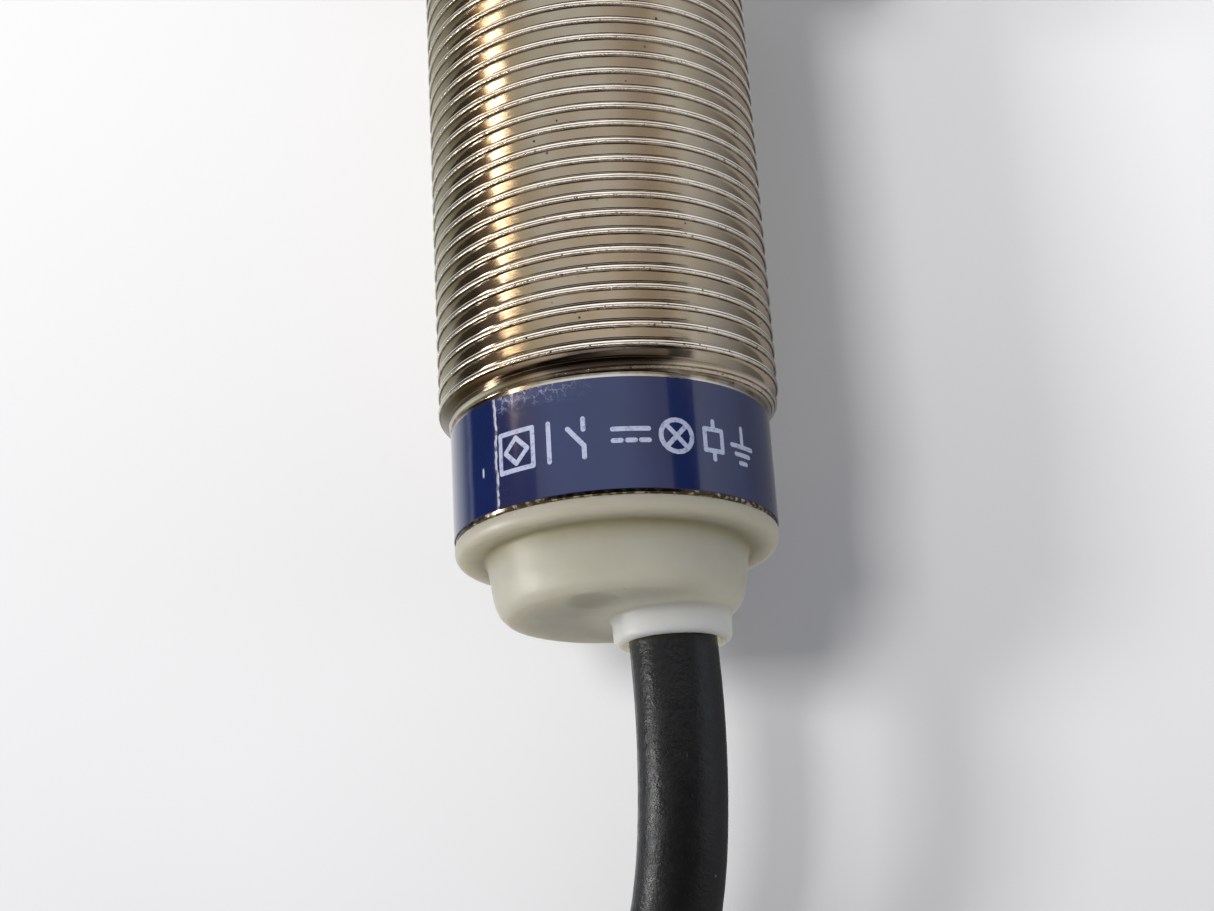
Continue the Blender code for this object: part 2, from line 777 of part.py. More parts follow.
def main():
    clear_scene()
    housing_barrel()
    label_band()
    rear_cap()
    cable_stub()
    cable_clamp_ring()
    inner_wires()
    sensing_face_cap()
    face_seal_ring()
    ferrite_pot_core()
    coil_bobbin()
    coil_winding()
    shield_disc()
    coil_carrier()
    circuit_board()
    board_parts()
    potting_resin()
    fasteners()
    cable()


main()
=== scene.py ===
from math import cos, pi, radians, sin, tan

import bmesh
import bpy
import numpy as np
from mathutils import Matrix, Vector

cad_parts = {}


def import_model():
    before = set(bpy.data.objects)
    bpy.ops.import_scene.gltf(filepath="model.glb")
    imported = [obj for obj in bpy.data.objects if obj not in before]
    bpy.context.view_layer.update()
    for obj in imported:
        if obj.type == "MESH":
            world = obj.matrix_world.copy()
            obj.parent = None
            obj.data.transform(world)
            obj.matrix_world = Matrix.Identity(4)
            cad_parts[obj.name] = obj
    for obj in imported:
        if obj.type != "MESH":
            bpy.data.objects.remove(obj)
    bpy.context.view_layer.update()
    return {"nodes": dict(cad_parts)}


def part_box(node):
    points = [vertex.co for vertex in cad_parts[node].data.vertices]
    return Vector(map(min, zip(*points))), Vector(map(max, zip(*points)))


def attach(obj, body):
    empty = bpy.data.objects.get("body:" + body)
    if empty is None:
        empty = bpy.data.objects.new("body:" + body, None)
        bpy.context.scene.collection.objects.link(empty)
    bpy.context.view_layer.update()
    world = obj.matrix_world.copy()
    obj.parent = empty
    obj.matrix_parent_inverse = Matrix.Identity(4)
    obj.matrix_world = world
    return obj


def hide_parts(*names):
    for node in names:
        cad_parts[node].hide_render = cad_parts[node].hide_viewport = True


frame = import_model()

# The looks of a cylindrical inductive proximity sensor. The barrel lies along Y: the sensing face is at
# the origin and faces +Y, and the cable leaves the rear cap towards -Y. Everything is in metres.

MM = 0.001

# Thread, chamfers and plain land of the barrel.
THREAD_R = 9.0 * MM
PITCH = 1.0 * MM
FLANK_TAN = tan(radians(60.0))
CREST_HALF = 0.125 * MM
THREAD_DEPTH = 0.613 * MM
CREST_SEAM = 0.012 * MM
FRONT_CHAMFER_R = 8.3 * MM
LAND_R = 8.3 * MM
LAND_FRONT_Y = -51.2 * MM
BARREL_END_Y = -57.4 * MM
BORE_R = 7.85 * MM
THREAD_COLUMNS = 96

# Label.
LABEL_FRONT_Y = -51.5 * MM
LABEL_REAR_Y = -57.22 * MM
LABEL_IN_R = 8.33 * MM
LABEL_OUT_R = 8.39 * MM
LABEL_LAYER = 0.035 * MM
SEAM_ANGLE = radians(-42.6)
OVERLAP = radians(14.0)

# Rear cap.
FLANGE_R = 8.38 * MM
FLANGE_FRONT_Y = -57.45 * MM
FLANGE_REAR_Y = -58.3 * MM
CUP_TOP_R = 6.8 * MM
CUP_END_Y = -61.62 * MM
BOSS_X = 2.55 * MM
BOSS_R = 3.03 * MM
BOSS_END_Y = -63.05 * MM

# Nuts and lock washers.
NUT_FLATS = 24.0 * MM
NUT_BORE_R = 9.06 * MM
WASHER_TEETH = 16
FLOOR_Z = -NUT_FLATS / 2

# Cable and hank, in the same places as the CAD solids that they stand for.
CABLE_R = 2.25 * MM
HANK_X = 8.0 * MM
HANK_FRONT_Y = -105.0 * MM
HANK_RUN = 50.9 * MM
OUTER_TRACK = 18.0 * MM
INNER_TRACK = 13.5 * MM
LOWEST_LAYER_Z = -8.7 * MM
TIE_Y = -130.0 * MM
LEAD_ROUTE = [
    (2.55, -54.0, 0.0),
    (2.55, -58.5, 0.0),
    (2.55, -63.35, 0.0),
    (2.64, -65.5, 0.0),
    (2.6, -68.5, -0.1),
    (2.42, -71.8, -0.5),
    (2.0, -75.2, -1.35),
    (1.1, -78.6, -2.6),
    (-0.35, -82.0, -4.0),
    (-2.2, -85.7, -5.9),
    (-4.2, -89.7, -8.0),
    (-6.0, -93.2, -9.4),
]
HANK_EXIT_ROUTE = [
    (20.5, -149.6, -9.7),
    (18.4, -143.2, -9.7),
]
TAIL_ROUTE = [
    (16.3, -137.0, -9.7),
    (15.4, -133.5, -9.7),
    (14.6, -130.0, -9.7),
    (13.9, -126.0, -9.7),
    (13.5, -122.0, -9.7),
    (13.3, -118.0, -9.7),
]

# Colours of the cable's cores.
WIRE_COLOURS = {
    "brown": (0.20, 0.08, 0.03),
    "blue": (0.02, 0.10, 0.45),
    "black": (0.02, 0.02, 0.02),
    "white": (0.75, 0.75, 0.72),
}

# Camera, as fitted to the photo: its place, how far it looks down, its roll and its lens.
CAMERA_AT = Vector((-0.000244, -0.083741, 0.092441))
CAMERA_DOWN = radians(71.444)
CAMERA_ROLL = radians(-3.474)
CAMERA_LENS = 55.01


# ---- mesh helpers


def linked(name, data):
    """A new object in the scene."""
    obj = bpy.data.objects.new(name, data)
    bpy.context.scene.collection.objects.link(obj)
    return obj


def piece_of(name, mesh, material, body="sensor", stands_for=()):
    """A finished mesh or curve as a piece on its body."""
    obj = linked(name, mesh)
    mesh.materials.append(material)
    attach(obj, body)
    if stands_for:
        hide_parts(*stands_for)
    return obj


def mm(*outline):
    """(radius, y) pairs in millimetres, in metres."""
    return [(r * MM, y * MM) for r, y in outline]


def merge_points(bm, distance):
    bmesh.ops.remove_doubles(bm, verts=bm.verts, dist=distance)
    bmesh.ops.dissolve_degenerate(bm, edges=bm.edges, dist=distance)


def finished(bm, name, sharp):
    """The finished mesh of a bmesh, smooth but for edges sharper than so many degrees."""
    mesh = bpy.data.meshes.new(name)
    bm.to_mesh(mesh)
    bm.free()
    mesh.shade_smooth()
    mesh.set_sharp_from_angle(angle=radians(sharp))
    return mesh


def mesh_of(name, points, faces, sharp, merge=1e-7):
    """One closed mesh from points and faces, with doubled points merged and its faces pointing out."""
    mesh = bpy.data.meshes.new(name)
    mesh.from_pydata([tuple(p) for p in points], [], [tuple(f) for f in faces])
    bm = bmesh.new()
    bm.from_mesh(mesh)
    bpy.data.meshes.remove(mesh)
    if merge:
        merge_points(bm, merge)
    bmesh.ops.recalc_face_normals(bm, faces=bm.faces)
    return finished(bm, name, sharp)


def grid_faces(rows, columns, wrap_rows=False, row_shift=0):
    """Quads of a grid whose columns wrap round. A helix wraps with its rows shifted."""
    starts = np.arange(rows if wrap_rows else rows - 1)
    row, column = np.meshgrid(starts, np.arange(columns), indexing="ij")
    right = (column + 1) % columns
    shift = np.where(right == 0, row_shift, 0)
    a = row * columns + column
    b = (row - shift) * columns + right
    c = (row + 1 - shift) % rows * columns + right
    d = (row + 1) % rows * columns + column
    keep = (row - shift) >= 0
    return np.stack([a, b, c, d], -1)[keep]


def around(angle, radius, y):
    """Points round the barrel's axis: straight up is 0 and +X is a quarter turn."""
    return np.stack(np.broadcast_arrays(radius * np.sin(angle), y, radius * np.cos(angle)), -1)


def turned_points(outline, columns):
    """Rings of points round the barrel's axis, from (radius, y) pairs."""
    outline = np.array(outline)
    return around(2 * pi * np.arange(columns) / columns, outline[:, :1], outline[:, 1:]).reshape(-1, 3)


def turned(name, outline, columns, x=0.0, z=0.0):
    """A turned mesh, from an outline whose ends both lie on the axis."""
    points = turned_points(outline, columns) + (x, 0.0, z)
    return mesh_of(name, points, grid_faces(len(outline), columns), 35.0)


def looped(name, rings, sharp, merge=0.0):
    """A closed mesh of equal rings of points, whose last ring meets the first."""
    rings = np.array(rings)
    faces = grid_faces(len(rings), rings.shape[1], wrap_rows=True)
    return mesh_of(name, rings.reshape(-1, 3), faces, sharp, merge)


def smooth_line(points, spacing):
    """Points about one spacing apart on a smooth curve through the given points."""
    knots = [Vector(p) for p in points]
    knots = [2 * knots[0] - knots[1]] + knots + [2 * knots[-1] - knots[-2]]
    line = [knots[1].copy()]
    for a, b, c, d in zip(knots, knots[1:], knots[2:], knots[3:]):
        steps = max(1, round((c - b).length / spacing))
        for k in range(1, steps + 1):
            t = k / steps
            line.append(
                0.5 * (2 * b + (c - a) * t + (2 * a - 5 * b + 4 * c - d) * t**2
                       + (3 * b - a - 3 * c + d) * t**3)
            )
    return line


def tube_curve(name, points, radius, resolution):
    """A round cord along a line of points, closed at both ends."""
    curve = bpy.data.curves.new(name, "CURVE")
    curve.dimensions = "3D"
    curve.bevel_depth = radius
    curve.bevel_resolution = resolution
    curve.use_fill_caps = True
    spline = curve.splines.new("POLY")
    spline.points.add(len(points) - 1)
    for point, place in zip(spline.points, points):
        point.co = (*place, 1.0)
    return curve


# ---- materials


class Nodes:
    """Short ways to build a node tree."""

    def __init__(self, tree):
        self.tree = tree

    def plug(self, socket, value):
        if isinstance(value, bpy.types.NodeSocket):
            self.tree.links.new(value, socket)
        elif isinstance(value, tuple) and len(value) == 3 and socket.type == "RGBA":
            socket.default_value = (*value, 1.0)
        else:
            socket.default_value = value

    def node(self, kind, settings=None, **inputs):
        made = self.tree.nodes.new("ShaderNode" + kind)
        for key, value in (settings or {}).items():
            setattr(made, key, value)
        for key, value in inputs.items():
            self.plug(made.inputs[key.replace("_", " ")], value)
        return made

    def fed(self, made, *values):
        """The same node, with its first sockets filled in order."""
        for socket, value in zip(made.inputs, values):
            self.plug(socket, value)
        return made

    def math(self, operation, *values, clamp=False):
        return self.fed(self.node("Math", {"operation": operation, "use_clamp": clamp}), *values).outputs[0]

    def times(self, value, *others):
        for other in others:
            value = self.math("MULTIPLY", value, other)
        return value

    def plus(self, a, b):
        return self.math("ADD", a, b)

    def minus(self, a, b):
        return self.math("SUBTRACT", a, b)

    def mix(self, factor, a, b):
        """A colour between a and b."""
        made = self.node("Mix", {"data_type": "RGBA"})
        self.plug(made.inputs[0], factor)
        self.plug(made.inputs[6], a)
        self.plug(made.inputs[7], b)
        return made.outputs[2]

    def step(self, value, low, high, start=0.0, end=1.0, kind="SMOOTHSTEP"):
        """A smooth step of value between low and high."""
        made = self.node("MapRange", {"interpolation_type": kind})
        return self.fed(made, value, low, high, start, end).outputs[0]

    def band(self, value, middle, half):
        """1 where value is near the middle, fading to 0 half a band away."""
        return self.step(self.math("ABSOLUTE", self.minus(value, middle)), half, half * 0.4)

    def ring(self, across, ahead, stops):
        """Colours all round, from (degrees, colour) stops: 0 is straight ahead and 90 is straight across."""
        turn = self.step(self.math("ARCTAN2", across, ahead), -pi, pi, kind="LINEAR")
        made = self.fed(self.node("ValToRGB"), turn)
        elements = made.color_ramp.elements
        while len(elements) > 1:
            elements.remove(elements[0])
        for k, (degrees, colour) in enumerate(stops):
            place = (degrees + 180.0) / 360.0
            element = elements[0] if k == 0 else elements.new(place)
            element.position = place
            element.color = (*colour, 1.0)
        return made.outputs[0]


class Finish(Nodes):
    """A Principled material. Its coordinates are in millimetres, and its base colour is painted in layers."""

    def __init__(self, name, **values):
        self.material = bpy.data.materials.new(name)
        self.material.use_nodes = True
        super().__init__(self.material.node_tree)
        self.shader = self.tree.nodes["Principled BSDF"]
        for key, value in values.items():
            self.set(key.replace("_", " "), value)
        where = self.node("TexCoord").outputs["Object"]
        self.place = self.node("Mapping", Vector=where, Scale=(1000.0,) * 3).outputs[0]
        self.base = None

    def set(self, name, value):
        self.plug(self.shader.inputs[name], value)

    def blend(self, factor, a, b):
        """Starts the base colour, as a blend of two."""
        self.base = self.mix(factor, a, b)

    def patches(self, scale, a, b, detail=3.0):
        """Starts the base colour, as soft patches of two."""
        self.blend(self.step(self.noise(scale, detail), 0.3, 0.7), a, b)

    def paint(self, colour, *masks):
        """Lays a colour over the base, as far as the product of the masks says."""
        self.base = self.mix(self.times(*masks), self.base, colour)

    def done(self, roughness, *bumps):
        """Sets the colour, the roughness and the bumps, each a height and its depth in millimetres."""
        self.set("Base Color", self.base)
        if roughness is not None:
            self.set("Roughness", roughness)
        if bumps:
            heights = [self.times(height, depth * MM) for height, depth in bumps]
            total = heights[0]
            for height in heights[1:]:
                total = self.plus(total, height)
            self.set("Normal", self.node("Bump", Height=total, Distance=1.0, Strength=1.0).outputs[0])
        return self.material

    def noise(self, scale, detail=2.0, stretch=None, rough=0.5):
        """Noise with so many features to a millimetre, or stretched by a scale along each axis."""
        place = self.place
        if stretch:
            place = self.node("Mapping", Vector=place, Scale=stretch).outputs[0]
        made = self.node("TexNoise", Vector=place, Scale=scale, Detail=detail, Roughness=rough)
        return made.outputs["Fac"]

    def cells(self, scale):
        """Distance to the nearest of some scattered points, and each point's own random value."""
        made = self.node("TexVoronoi", Vector=self.place, Scale=scale)
        value = self.node("SeparateColor", Color=made.outputs["Color"]).outputs[0]
        return made.outputs["Distance"], value

    def spots(self, scale, size, share):
        """1 on scattered spots: size is in cell widths, and share is how many cells hold one."""
        distance, value = self.cells(scale)
        return self.times(self.step(distance, size, size * 0.5), self.step(value, share, share - 0.02))

    def axes(self):
        return tuple(self.node("SeparateXYZ", Vector=self.place).outputs)

    def off_axis(self, x, z):
        """Distance from the barrel's axis, or from another line along Y."""
        return self.math("SQRT", self.plus(self.math("POWER", x, 2.0), self.math("POWER", z, 2.0)))


def shade(colour, *factors):
    """A colour times one factor, or times one for each of its parts."""
    return tuple(c * m for c, m in zip(colour, factors * 3))


def nickel(name, colour=(0.66, 0.60, 0.51), rough=0.135, thread=False):
    """Nickel plating over brass: faint machining lines and pits, and on a thread its wear along with painted
    highlights and painted shade.
    """
    f = Finish(name, Metallic=1.0)
    patches = f.noise(0.35, 3.0)
    lines = f.noise(1.0, 3.0, stretch=(0.3, 16.0, 0.3), rough=0.7)
    pits = f.spots(1.6, 0.13, 0.1)
    f.blend(f.step(patches, 0.35, 0.7), colour, shade(colour, 0.94, 0.91, 0.86))
    f.paint(shade(colour, 0.75), lines, 0.25)
    f.paint((0.08, 0.06, 0.04), pits)
    roughness = f.plus(rough, f.times(f.minus(patches, 0.5), 0.12))
    bumps = [(lines, 0.0035), (pits, -0.03), (f.noise(1.3, 3.0), 0.006)]
    if thread:
        bumps += thread_wear_and_painted_light(f)
    return f.done(f.math("ADD", roughness, f.times(pits, 0.3), clamp=True), *bumps)


def thread_wear_and_painted_light(f):
    """Crests painted lighter, with painted highlights along both edges and nicks in the rear one, a dark
    seam, painted shade along the lip and in the roots, grit and a darker lip towards the label, and the dark
    bands round the thread's run-out and at both ends of the label, the one in the gap before the flange being
    painted shade."""
    x, y, z = f.axes()
    land, label_end = LAND_FRONT_Y / MM, LABEL_REAR_Y / MM
    turn = f.math("DIVIDE", f.math("ARCTAN2", x, z), 2 * pi)
    across = f.minus(f.math("FRACT", f.plus(f.minus(turn, y), 100.5)), 0.5)
    threaded = f.step(y, land - 0.05, land + 0.25)
    fine = f.noise(9.0, 3.0, rough=0.75)
    coarse = f.noise(1.1, 2.0)

    def line(middle, half):
        """A line along the thread, placed across a turn in shares of the pitch."""
        return f.times(f.band(across, middle, half), threaded)

    crest, rear_edge, lip = line(0.0, 0.19), line(0.085, 0.062), line(0.172, 0.034)
    root = f.times(f.step(f.math("ABSOLUTE", across), 0.455, 0.485), threaded)
    nicks = f.times(rear_edge, f.step(f.noise(5.0, 3.0, rough=0.7), 0.61, 0.66))
    # Painted highlights: the crests painted lighter, with bright lines along their rear edge, broken up by
    # noise, and along their front edge.
    f.paint((0.80, 0.74, 0.65), crest, 0.5)
    f.paint((0.99, 0.93, 0.83), rear_edge, f.step(fine, 0.34, 0.48))
    f.paint((0.99, 0.92, 0.82), line(-0.08, 0.055), 0.95)
    f.paint((0.13, 0.09, 0.06), line(0.0, 0.040), f.step(coarse, 0.35, 0.6, 0.45, 0.9))
    f.paint((0.12, 0.07, 0.04), nicks, 0.85)
    # Painted shade along the lip, where each crest turns into its rear flank.
    f.paint((0.12, 0.08, 0.05), lip, f.step(coarse, 0.3, 0.65, 0.6, 0.95))
    # Painted shade in the roots of the thread.
    f.paint((0.16, 0.10, 0.06), root, 0.35)
    f.paint((0.06, 0.04, 0.025), f.spots(2.6, 0.24, 0.45), line(0.05, 0.24), f.step(y, -38.0, -48.0), 0.9)
    f.paint((0.07, 0.04, 0.02), lip, f.step(y, -34.0, -46.0), f.step(coarse, 0.38, 0.55), 0.8)
    f.paint((0.10, 0.065, 0.04), f.band(y, land + 0.58, 0.36), f.step(x, 4.2, 2.4), 0.8)
    f.paint((0.16, 0.11, 0.07), f.band(y, land - 0.03, 0.17), f.step(coarse, 0.35, 0.6, 0.5, 0.85))
    # Painted shade in the narrow gap between the label's end and the flange.
    rim = f.step(y, label_end + 0.1, label_end - 0.02)
    f.paint((0.07, 0.045, 0.03), rim, f.step(f.noise(3.0, 3.0), 0.62, 0.5, 0.1, 0.95))
    return [(f.times(fine, f.plus(rear_edge, f.times(crest, 0.2))), 0.018), (nicks, -0.03)]


# How the label's torn seam wanders: waves to a millimetre, phase and reach, all in radians.
SEAM_WAVES = [(2.1, 0.0, 0.0042), (5.3, 1.0, 0.0024), (13.0, 0.0, 0.00144)]


def label_foil():
    """Glossy dark blue print on a clear foil, torn along its seam and rucked beside it."""
    f = Finish("label_foil", Roughness=0.16, Coat_Weight=0.6, Coat_Roughness=0.05, Coat_IOR=1.45)
    x, y, z = f.axes()
    front = LABEL_FRONT_Y / MM
    angle = f.minus(f.math("ARCTAN2", x, z), SEAM_ANGLE)
    near_seam = f.times(f.step(angle, -0.01, 0.03), f.step(angle, 0.72, 0.1))
    at_front = f.step(y, front - 1.15, front - 0.15)
    rucked = f.times(near_seam, f.math("ADD", at_front, 0.1, clamp=True))
    off_seam = angle
    for pace, phase, reach in SEAM_WAVES:
        off_seam = f.minus(off_seam, f.times(f.math("SINE", f.plus(f.times(y, pace), phase)), reach))
    torn = f.times(f.band(off_seam, 0.005, 0.0105), f.step(f.noise(2.3, 3.0), 0.40, 0.50, 0.25, 1.0))
    dash = f.times(f.band(angle, -0.115, 0.011), f.band(y, -55.1, 0.3))
    ridge = f.math("ABSOLUTE", f.minus(f.noise(2.1, 4.0, rough=0.6), 0.5))
    rucks = f.times(f.step(ridge, 0.022, 0.008), at_front, near_seam)
    f.patches(0.5, (0.0040, 0.0118, 0.070), (0.0035, 0.0102, 0.061), detail=2.0)
    # Painted reflection: darker blue just past the seam, standing in for dark surroundings mirrored by the
    # glossy foil.
    f.paint((0.0075, 0.0105, 0.048), f.step(off_seam, -0.002, 0.004), f.step(angle, 0.45, 0.15), 0.75)
    f.paint((0.10, 0.12, 0.26), f.noise(5.0, 3.0), rucked, 0.5)
    f.paint((0.42, 0.45, 0.6), rucks, 0.85)
    f.paint((0.50, 0.52, 0.60), f.math("MAXIMUM", torn, dash), 0.85)
    f.paint((0.6, 0.62, 0.7), f.spots(0.9, 0.05, 0.12), 0.8)
    return f.done(None, (f.noise(0.7, 2.0), 0.006), (rucks, 0.02), (f.times(f.noise(3.0, 3.0), rucked), 0.03))


def label_ink():
    """White ink, a little worn."""
    f = Finish("label_ink", Roughness=0.3, Coat_Weight=0.7, Coat_Roughness=0.05)
    worn = f.step(f.noise(4.5, 4.0, rough=0.7), 0.36, 0.5)
    f.blend(worn, (0.20, 0.23, 0.36), (0.36, 0.40, 0.54))
    return f.done(None, (f.noise(6.0, 2.0), 0.004))


def cap_plastic():
    """Translucent ivory plastic that light shines into, whiter on the boss, with moulding specks."""
    f = Finish("cap_plastic", IOR=1.5, Subsurface_Weight=1.0, Subsurface_Scale=0.0035)
    f.set("Subsurface Radius", (1.6, 1.5, 1.1))
    x, y, z = f.axes()
    radius = f.off_axis(x, z)
    on_boss = f.times(f.step(f.off_axis(f.minus(x, BOSS_X / MM), z), 5.2, 3.0), f.step(y, -60.6, -62.2))
    specks = f.spots(0.55, 0.06, 0.2)
    f.patches(0.35, (0.385, 0.37, 0.31), (0.36, 0.345, 0.285))
    # Painted shade on the cup just under the overhanging flange.
    f.paint((0.30, 0.265, 0.15), f.step(y, -59.4, -58.35), f.step(radius, 7.7, 6.9), 0.8)
    f.paint((0.365, 0.335, 0.26), f.step(radius, 7.3, 8.2))
    f.paint((0.62, 0.59, 0.48), on_boss)
    f.paint((0.12, 0.09, 0.05), specks, 0.8)
    f.paint((0.85, 0.85, 0.8), f.spots(0.8, 0.07, 0.1))
    roughness = f.step(f.noise(0.8, 3.0), 0.2, 0.8, 0.36, 0.5)
    return f.done(roughness, (f.noise(6.0, 3.0), 0.0035), (f.noise(0.6, 2.0), 0.02), (specks, -0.01))


def cable_sheath():
    """Black PVC with a pebbled skin, fine scratches and specks of dust."""
    f = Finish("cable_sheath", IOR=1.4)
    scratches = f.step(f.noise(1.0, 2.0, stretch=(5.0, 0.8, 5.0)), 0.70, 0.74)
    scratches = f.times(scratches, f.step(f.noise(0.4, 2.0), 0.5, 0.6))
    f.patches(0.3, (0.0055, 0.0055, 0.0065), (0.008, 0.008, 0.0085))
    f.paint((0.2, 0.2, 0.2), scratches, 0.25)
    f.paint((0.55, 0.55, 0.52), f.spots(0.6, 0.07, 0.45), 0.8)
    roughness = f.step(f.noise(1.2, 4.0, rough=0.65), 0.25, 0.75, 0.24, 0.46)
    pebbles = f.noise(3.6, 4.0, rough=0.65)
    return f.done(roughness, (pebbles, 0.040), (f.noise(0.8, 2.0), 0.03), (scratches, -0.006))


def moulded(name, colour, rough=0.45, grain=4.0, depth=0.006, **values):
    """Plain moulded plastic, rubber, resin or ceramic with a fine grain."""
    f = Finish(name, **values)
    f.patches(grain * 0.2, colour, shade(colour, 0.86))
    roughness = f.step(f.noise(grain, 3.0), 0.2, 0.8, rough * 0.85, min(1.0, rough * 1.15))
    return f.done(roughness, (f.noise(grain, 3.0), depth))


def metal(name, colour, rough=0.3, winding=False):
    """Plain metal with drawn lines, or wound wire with its turns showing."""
    f = Finish(name, Metallic=1.0)
    lines = f.noise(1.0, 3.0, stretch=(1.0, 9.0, 1.0))
    if winding:
        lines = f.node("TexWave", {"bands_direction": "Y"}, Vector=f.place, Scale=1.3).outputs["Fac"]
    f.blend(lines, shade(colour, 0.75), colour)
    roughness = f.step(f.noise(1.5, 3.0), 0.2, 0.8, rough * 0.8, rough * 1.2)
    return f.done(roughness, (lines, 0.05 if winding else 0.004))


def board_laminate():
    """Green solder mask over etched tracks."""
    f = Finish("board_laminate", Coat_Weight=0.4, Coat_Roughness=0.15)
    tracks = f.step(f.noise(0.9, 0.0, stretch=(1.0, 0.25, 1.0)), 0.49, 0.51)
    f.blend(f.times(tracks, 0.6), (0.015, 0.12, 0.05), (0.03, 0.22, 0.09))
    f.paint((0.01, 0.08, 0.03), f.cells(0.55)[1], 0.1)
    return f.done(f.step(f.noise(3.0, 2.0), 0.2, 0.8, 0.35, 0.5), (tracks, 0.03))


# ---- camera


def camera():
    data = bpy.data.cameras.new("camera")
    data.lens = CAMERA_LENS
    data.sensor_width = 36.0
    data.clip_start, data.clip_end = 0.005, 5.0
    forward = Vector((0.0, cos(CAMERA_DOWN), -sin(CAMERA_DOWN)))
    level = Vector((1.0, 0.0, 0.0))
    upright = level.cross(forward)
    right = level * cos(CAMERA_ROLL) + upright * sin(CAMERA_ROLL)
    up = upright * cos(CAMERA_ROLL) - level * sin(CAMERA_ROLL)
    turn = Matrix((right, up, -forward)).transposed().to_4x4()
    obj = linked("camera", data)
    obj.matrix_world = Matrix.Translation(CAMERA_AT) @ turn
    bpy.context.scene.camera = obj


# ---- cable

# One lap of the hank, as shares of it: half the front fold, the left run, the rear fold, the right run,
# and the rest of the front fold. Both columns of turns share these, so that they lie side by side.
MIDDLE_TRACK = (OUTER_TRACK + INNER_TRACK) / 2
HALF_FOLD = pi / 2 * MIDDLE_TRACK
LAP = 2 * HANK_RUN + 4 * HALF_FOLD
LAP_MARKS = np.cumsum([0.0, HALF_FOLD, HANK_RUN, 2 * HALF_FOLD, HANK_RUN, HALF_FOLD]) / LAP
# The lead joins the first lap 66 degrees round its front fold. In the fifth lap the cable crosses to the
# inner track, and the last one ends as its right run begins.
FIRST_LAP = LAP_MARKS[1] * 66.0 / 90.0
CROSSING = (4.755, 4.875)
LAST_LAP = 9 + LAP_MARKS[3] + 0.004

# How the cable settles: the rounds it takes, how far it sinks in each, how stiff it is, and how far the
# ties and tracks give. Points closer than so many diameters along the cable don't push each other.
ROUNDS = 90
SINK = 0.02 * MM
STIFFNESS = 0.10
SLACK = 0.1 * MM
NEIGHBOURS = 2.4
# The loose waves that it starts with: their reach, and how many points each is long. They grow over the
# first points of the hank.
WAVES = np.array([0.2, 0.4, 0.12]) * MM
WAVE_POINTS = 24
GROW_POINTS = 14.0
# Touching turns are pressed together a little, and a crowded point gives way less to each of the others.
TOUCH = 2 * CABLE_R * 0.995
CROWDING = 0.45


def smoothstep(value, low, high):
    t = np.clip((value - low) / (high - low), 0.0, 1.0)
    return t * t * (3 - 2 * t)


def wound_line():
    """Five turns that climb on the outer track, then five that come down on the inner one."""
    lap = np.linspace(FIRST_LAP, LAST_LAP, 1500)
    share = lap % 1.0
    radius = OUTER_TRACK + (INNER_TRACK - OUTER_TRACK) * smoothstep(lap, *CROSSING)
    level = np.zeros_like(lap)
    for k in range(4):
        level += smoothstep(lap, k + 0.84, k + 0.985)
        level -= smoothstep(lap, k + 5.63, k + 5.75)
    marks = LAP_MARKS
    along = (share - marks[1]) / (marks[2] - marks[1])
    back = (share - marks[3]) / (marks[4] - marks[3])
    front_angle = np.where(share < 0.5, share / marks[1], (share - 1.0) / (1.0 - marks[4])) * pi / 2
    rear_angle = (share - marks[2]) / (marks[3] - marks[2]) * pi
    runs = [(share >= start) & (share < end) for start, end in zip(marks[1:], marks[2:5])]
    runs_x = [-radius, -radius * np.cos(rear_angle), radius]
    runs_y = [-HANK_RUN * along, -HANK_RUN - radius * np.sin(rear_angle), HANK_RUN * (back - 1.0)]
    x = np.select(runs, runs_x, -radius * np.sin(front_angle)) + HANK_X
    y = np.select(runs, runs_y, radius * np.cos(front_angle)) + HANK_FRONT_Y
    sag = 1.0 * MM * smoothstep(np.abs(y - TIE_Y), 4 * MM, 24 * MM)
    z = LOWEST_LAYER_Z + 2 * CABLE_R * level - sag
    return np.stack([x, y, z], -1)


def spaced(points, spacing):
    """The same line with even spacing."""
    points = np.array(points, float)
    run = np.concatenate([[0.0], np.cumsum(np.linalg.norm(np.diff(points, axis=0), axis=1))])
    wanted = np.linspace(0.0, run[-1], max(2, round(run[-1] / spacing) + 1))
    return np.stack([np.interp(wanted, run, points[:, k]) for k in range(3)], -1)


